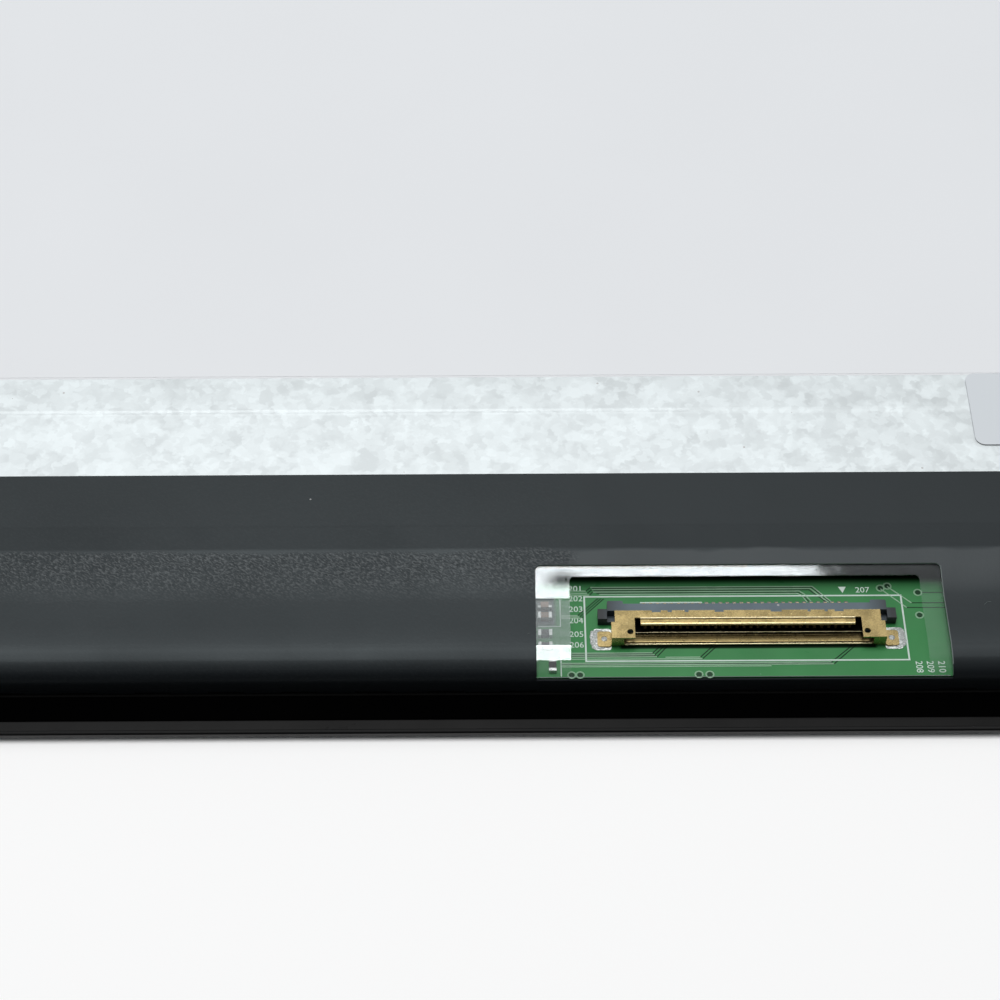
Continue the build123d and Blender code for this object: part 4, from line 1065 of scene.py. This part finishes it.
def addVias(settings):
    rings, holes = [], []
    for x, low in settings["spots"]:
        bpy.ops.mesh.primitive_torus_add(
            location=spot(x, low),
            major_segments=settings["sides"],
            minor_segments=settings["ringSides"],
            major_radius=settings["radius"],
            minor_radius=settings["ring"],
        )
        ring = bpy.context.object
        ring.scale.z = settings["flat"]
        bpy.ops.object.shade_smooth()
        rings.append(ring)
        bpy.ops.mesh.primitive_cylinder_add(
            location=spot(x, low),
            vertices=settings["sides"],
            radius=settings["hole"],
            depth=settings["holeDepth"],
        )
        holes.append(bpy.context.object)
    settle(joinAll(rings), "viaRings", trackPaintedHighlight)
    settle(joinAll(holes), "viaHoles", trackPaintedShade)


addVias(vias)

# White lines of the print at the left, round the small chips
printLines = {
    "halfWidth": 0.045 * mm,
    "rise": 0.3,
    "routes": [
        [(-13.24, 10.54), (-13.24, 8.13), (-14.85, 8.13)],
        [(-13.27, 6.31), (-13.27, 3.78)],
    ],
}


def addWhiteLines(name, settings):
    lines = addLines(name, settings["routes"], settings["halfWidth"], settings["rise"], boardZ)
    settle(lines, name, finishes["print_white"])


addWhiteLines("printLines", printLines)

# Plain three figure numbers in place of legends
numbers = {
    "fontSize": 0.69 * mm,
    "thick": 0.006 * mm,
    "lift": 0.004 * mm,
    "right": -11.6,
    "column": [(11.28, "201"), (10.37, "202"), (9.42, "203"), (8.4, "204"), (7.19, "205"), (6.25, "206")],
    "mark": (9.05, 11.04, "207"),
    "turned": [(11.64, 3.9, "208"), (12.42, 3.9, "209"), (13.22, 3.9, "210")],
}


def addNumber(settings, x, low, body, turn=0.0):
    bpy.ops.object.text_add(location=spot(x, low, boardZ + settings["lift"]), rotation=(0, 0, turn))
    piece = bpy.context.object
    piece.data.body = body
    piece.data.align_x = "RIGHT"
    piece.data.size = settings["fontSize"]
    piece.data.extrude = settings["thick"]
    piece.data.resolution_u = 4
    bpy.ops.object.convert(target="MESH")
    return bpy.context.object


def addNumbers(settings):
    pieces = [addNumber(settings, settings["right"], low, body) for low, body in settings["column"]]
    pieces.append(addNumber(settings, *settings["mark"]))
    pieces += [addNumber(settings, x, low, body, -math.pi / 2) for x, low, body in settings["turned"]]
    settle(joinAll(pieces), "boardNumbers", finishes["print_white"])


addNumbers(numbers)
print("stage: tracks, vias, lines and numbers")

# Solder round the connector's feet: a rough low patch on each land, and a plug in each foot's hole
mounds = {
    "left": (-10.62, 6.9),
    "right": (10.62, 6.98),
    "segments": (48, 24),
    "half": 0.56 * mm,
    "deep": 0.9 * mm,
    "height": 0.1 * mm,
    "lift": 0.01 * mm,
    "square": 0.45,
    "seedStep": (7.3, 3.1),
    "ragged": [(2.2, 0.14), (7, 0.08)],
    "under": -0.1,
    "rough": 0.05 * mm,
    "roughScale": 0.12 * mm,
    "plugSegments": (24, 12),
    "plugX": 10.17,
    "plugLow": 6.89,
    "plug": 0.3 * mm,
    "plugTop": 0.19 * mm,
}


def addMound(settings, place, seed):
    bpy.ops.object.select_all(action="DESELECT")
    segments, rings = settings["segments"]
    bpy.ops.mesh.primitive_uv_sphere_add(segments=segments, ring_count=rings, radius=1.0)
    piece = bpy.context.object
    stepX, stepY = settings["seedStep"]
    shift = Vector((seed * stepX, seed * stepY, 0))
    mesh = bmesh.new()
    mesh.from_mesh(piece.data)
    for vertex in mesh.verts:
        side = max(abs(vertex.co.x), abs(vertex.co.y), 0.001)
        ragged = 1 + settings["square"] * (vertex.co.xy.length / side - 1)
        for often, reach in settings["ragged"]:
            ragged += reach * noise.noise(Vector((vertex.co.x * often, vertex.co.y * often, 0)) + shift)
        vertex.co.x *= ragged
        vertex.co.y *= ragged
        vertex.co.z = max(vertex.co.z, settings["under"])
    mesh.to_mesh(piece.data)
    mesh.free()
    piece.scale = (settings["half"], settings["deep"], settings["height"])
    piece.location = spot(*place, boardZ + settings["lift"])
    bpy.ops.object.transform_apply()
    bpy.ops.object.shade_smooth()
    cloud = bpy.data.textures.new("moundCloud", "CLOUDS")
    cloud.noise_scale = settings["roughScale"]
    wrinkle = piece.modifiers.new("wrinkle", "DISPLACE")
    wrinkle.texture = cloud
    wrinkle.texture_coords = "GLOBAL"
    wrinkle.direction = "Z"
    wrinkle.strength = settings["rough"]
    wrinkle.mid_level = 0.5
    bpy.ops.object.modifier_apply(modifier="wrinkle")
    return piece


def addPlug(settings, side):
    segments, rings = settings["plugSegments"]
    bpy.ops.mesh.primitive_uv_sphere_add(segments=segments, ring_count=rings, radius=1.0)
    piece = bpy.context.object
    piece.scale = (settings["plug"], settings["plug"], settings["plugTop"])
    piece.location = spot(side * settings["plugX"], settings["plugLow"])
    bpy.ops.object.shade_smooth()
    return piece


def addFootSolder(settings):
    patches = [addMound(settings, settings["left"], 1), addMound(settings, settings["right"], 2)]
    patches += [addPlug(settings, -1), addPlug(settings, 1)]
    colour = tone(166, 172, 170)
    dull = makeSolder("solderRough", colour, rough=0.5, scale=9000.0, metallic=0.2, pit=0.72)
    settle(joinAll(patches), "footSolder", dull)


addFootSolder(mounds)

# Flux line behind the connector's bar
fluxLine = {"halfWidth": 0.075 * mm, "rise": 0.5, "routes": [[(-7.51, 10.2), (-3.06, 10.2)]]}
addWhiteLines("fluxLine", fluxLine)
print("stage: solder and flux")

# Folded ridges in a lighter gold as painted highlights: along the shell's step and lip, and along the tray's
# rear curl and front
ridges = {
    "top": [
        {"half": 7.6, "low": 8.06, "radius": 0.055, "over": 8.06, "down": 0.0},
        {"half": 7.55, "low": 7.62, "radius": 0.05, "over": 7.93, "down": 0.02},
    ],
    "tray": [
        {"half": 8.3, "low": 7.28, "radius": 0.014, "rise": 0.37},
        {"half": 8.72, "low": 6.4, "radius": 0.06, "rise": 0.15},
    ],
    "sunk": 0.4,
}
# A lighter copy of the gold: painted highlight
goldPaintedHighlight = makeGold("goldPaintedHighlight", (0.95, 0.82, 0.52, 1.0), rough=0.42, depth=0.0002 * mm)


def addRidge(ridge, up):
    ends = [(side * ridge["half"], ridge["low"], up) for side in (-1, 1)]
    return addLines("ridge", [ends], ridge["radius"] * mm)


def addRidges(settings):
    pieces = []
    for ridge in settings["top"]:
        top = topOf("connector_shell", 0, ridge["over"])
        pieces.append(addRidge(ridge, top - (ridge["radius"] * settings["sunk"] + ridge["down"]) * mm))
    pieces += [addRidge(ridge, boardZ + ridge["rise"] * mm) for ridge in settings["tray"]]
    settle(joinAll(pieces), "shellRidges", goldPaintedHighlight)


addRidges(ridges)

# Pale rim where the cover film's window was cut, down its right side and along its front
rims = {
    "radius": 0.028 * mm,
    "right": 14.13,
    "probe": 14.18,
    "lows": [4.2, 4.9, 5.9, 7.0, 8.0, 9.0, 9.9, 10.8, 11.7, 12.4],
    "front": [(-14.8, 3.66, boardZ), (13.95, 3.66, boardZ)],
}
rimLook = {"rough": 0.5, "scale": 2600.0, "depth": 0.01 * mm, "dust": 0.1, "dustColour": grey(0.02)}
rimPale = mouldedPlastic("rimPale", tone(112, 122, 120), **rimLook)


def addRims(settings):
    right, probe = settings["right"], settings["probe"]
    side = [(right, low, topOf("cover_film", probe, low)) for low in settings["lows"]]
    pieces = [addLines("rim", [route], settings["radius"]) for route in (side, settings["front"])]
    settle(joinAll(pieces), "windowRim", rimPale)


addRims(rims)
print("stage: ridges and rims")

# Adhesive fillet along the white sheet's lower edge
fillet = {"corner": 2.0 * mm, "wide": 0.14 * mm, "inset": 0.01 * mm, "lift": 0.002 * mm}


def addFillet(settings):
    bpy.ops.object.select_all(action="DESELECT")
    bpy.ops.mesh.primitive_plane_add(size=1.0)
    piece = bpy.context.object
    left = sheetLow.x + settings["corner"]
    right = sheetHigh.x - settings["corner"]
    top = sheetHigh.z - settings["inset"]
    front = sheetLow.y - settings["wide"]
    foot = plateZ + settings["lift"]
    corners = [(left, front, foot), (right, front, foot), (left, sheetLow.y, top), (right, sheetLow.y, top)]
    for vertex, corner in zip(piece.data.vertices, corners):
        vertex.co = corner
    settle(piece, "sheetFillet", finishes["sheet_white"])


addFillet(fillet)

# Stray fibres on the cover film
fibres = {
    "radius": 0.012 * mm,
    "lift": 0.012 * mm,
    "routes": [
        [(-15.6, 6.72), (-15.52, 6.78), (-15.44, 6.75)],
        [(16.9, 9.1), (17.1, 9.32), (17.4, 9.36)],
        [(-22.0, 12.2), (-21.7, 12.3), (-21.5, 12.26)],
    ],
}


def addFibres(settings):
    routes = []
    for route in settings["routes"]:
        routes.append([(x, low, topOf("cover_film", x, low) + settings["lift"]) for x, low in route])
    settle(addLines("fibres", routes, settings["radius"]), "filmFibres", rimPale)


addFibres(fibres)
print("stage: fillet and fibres")
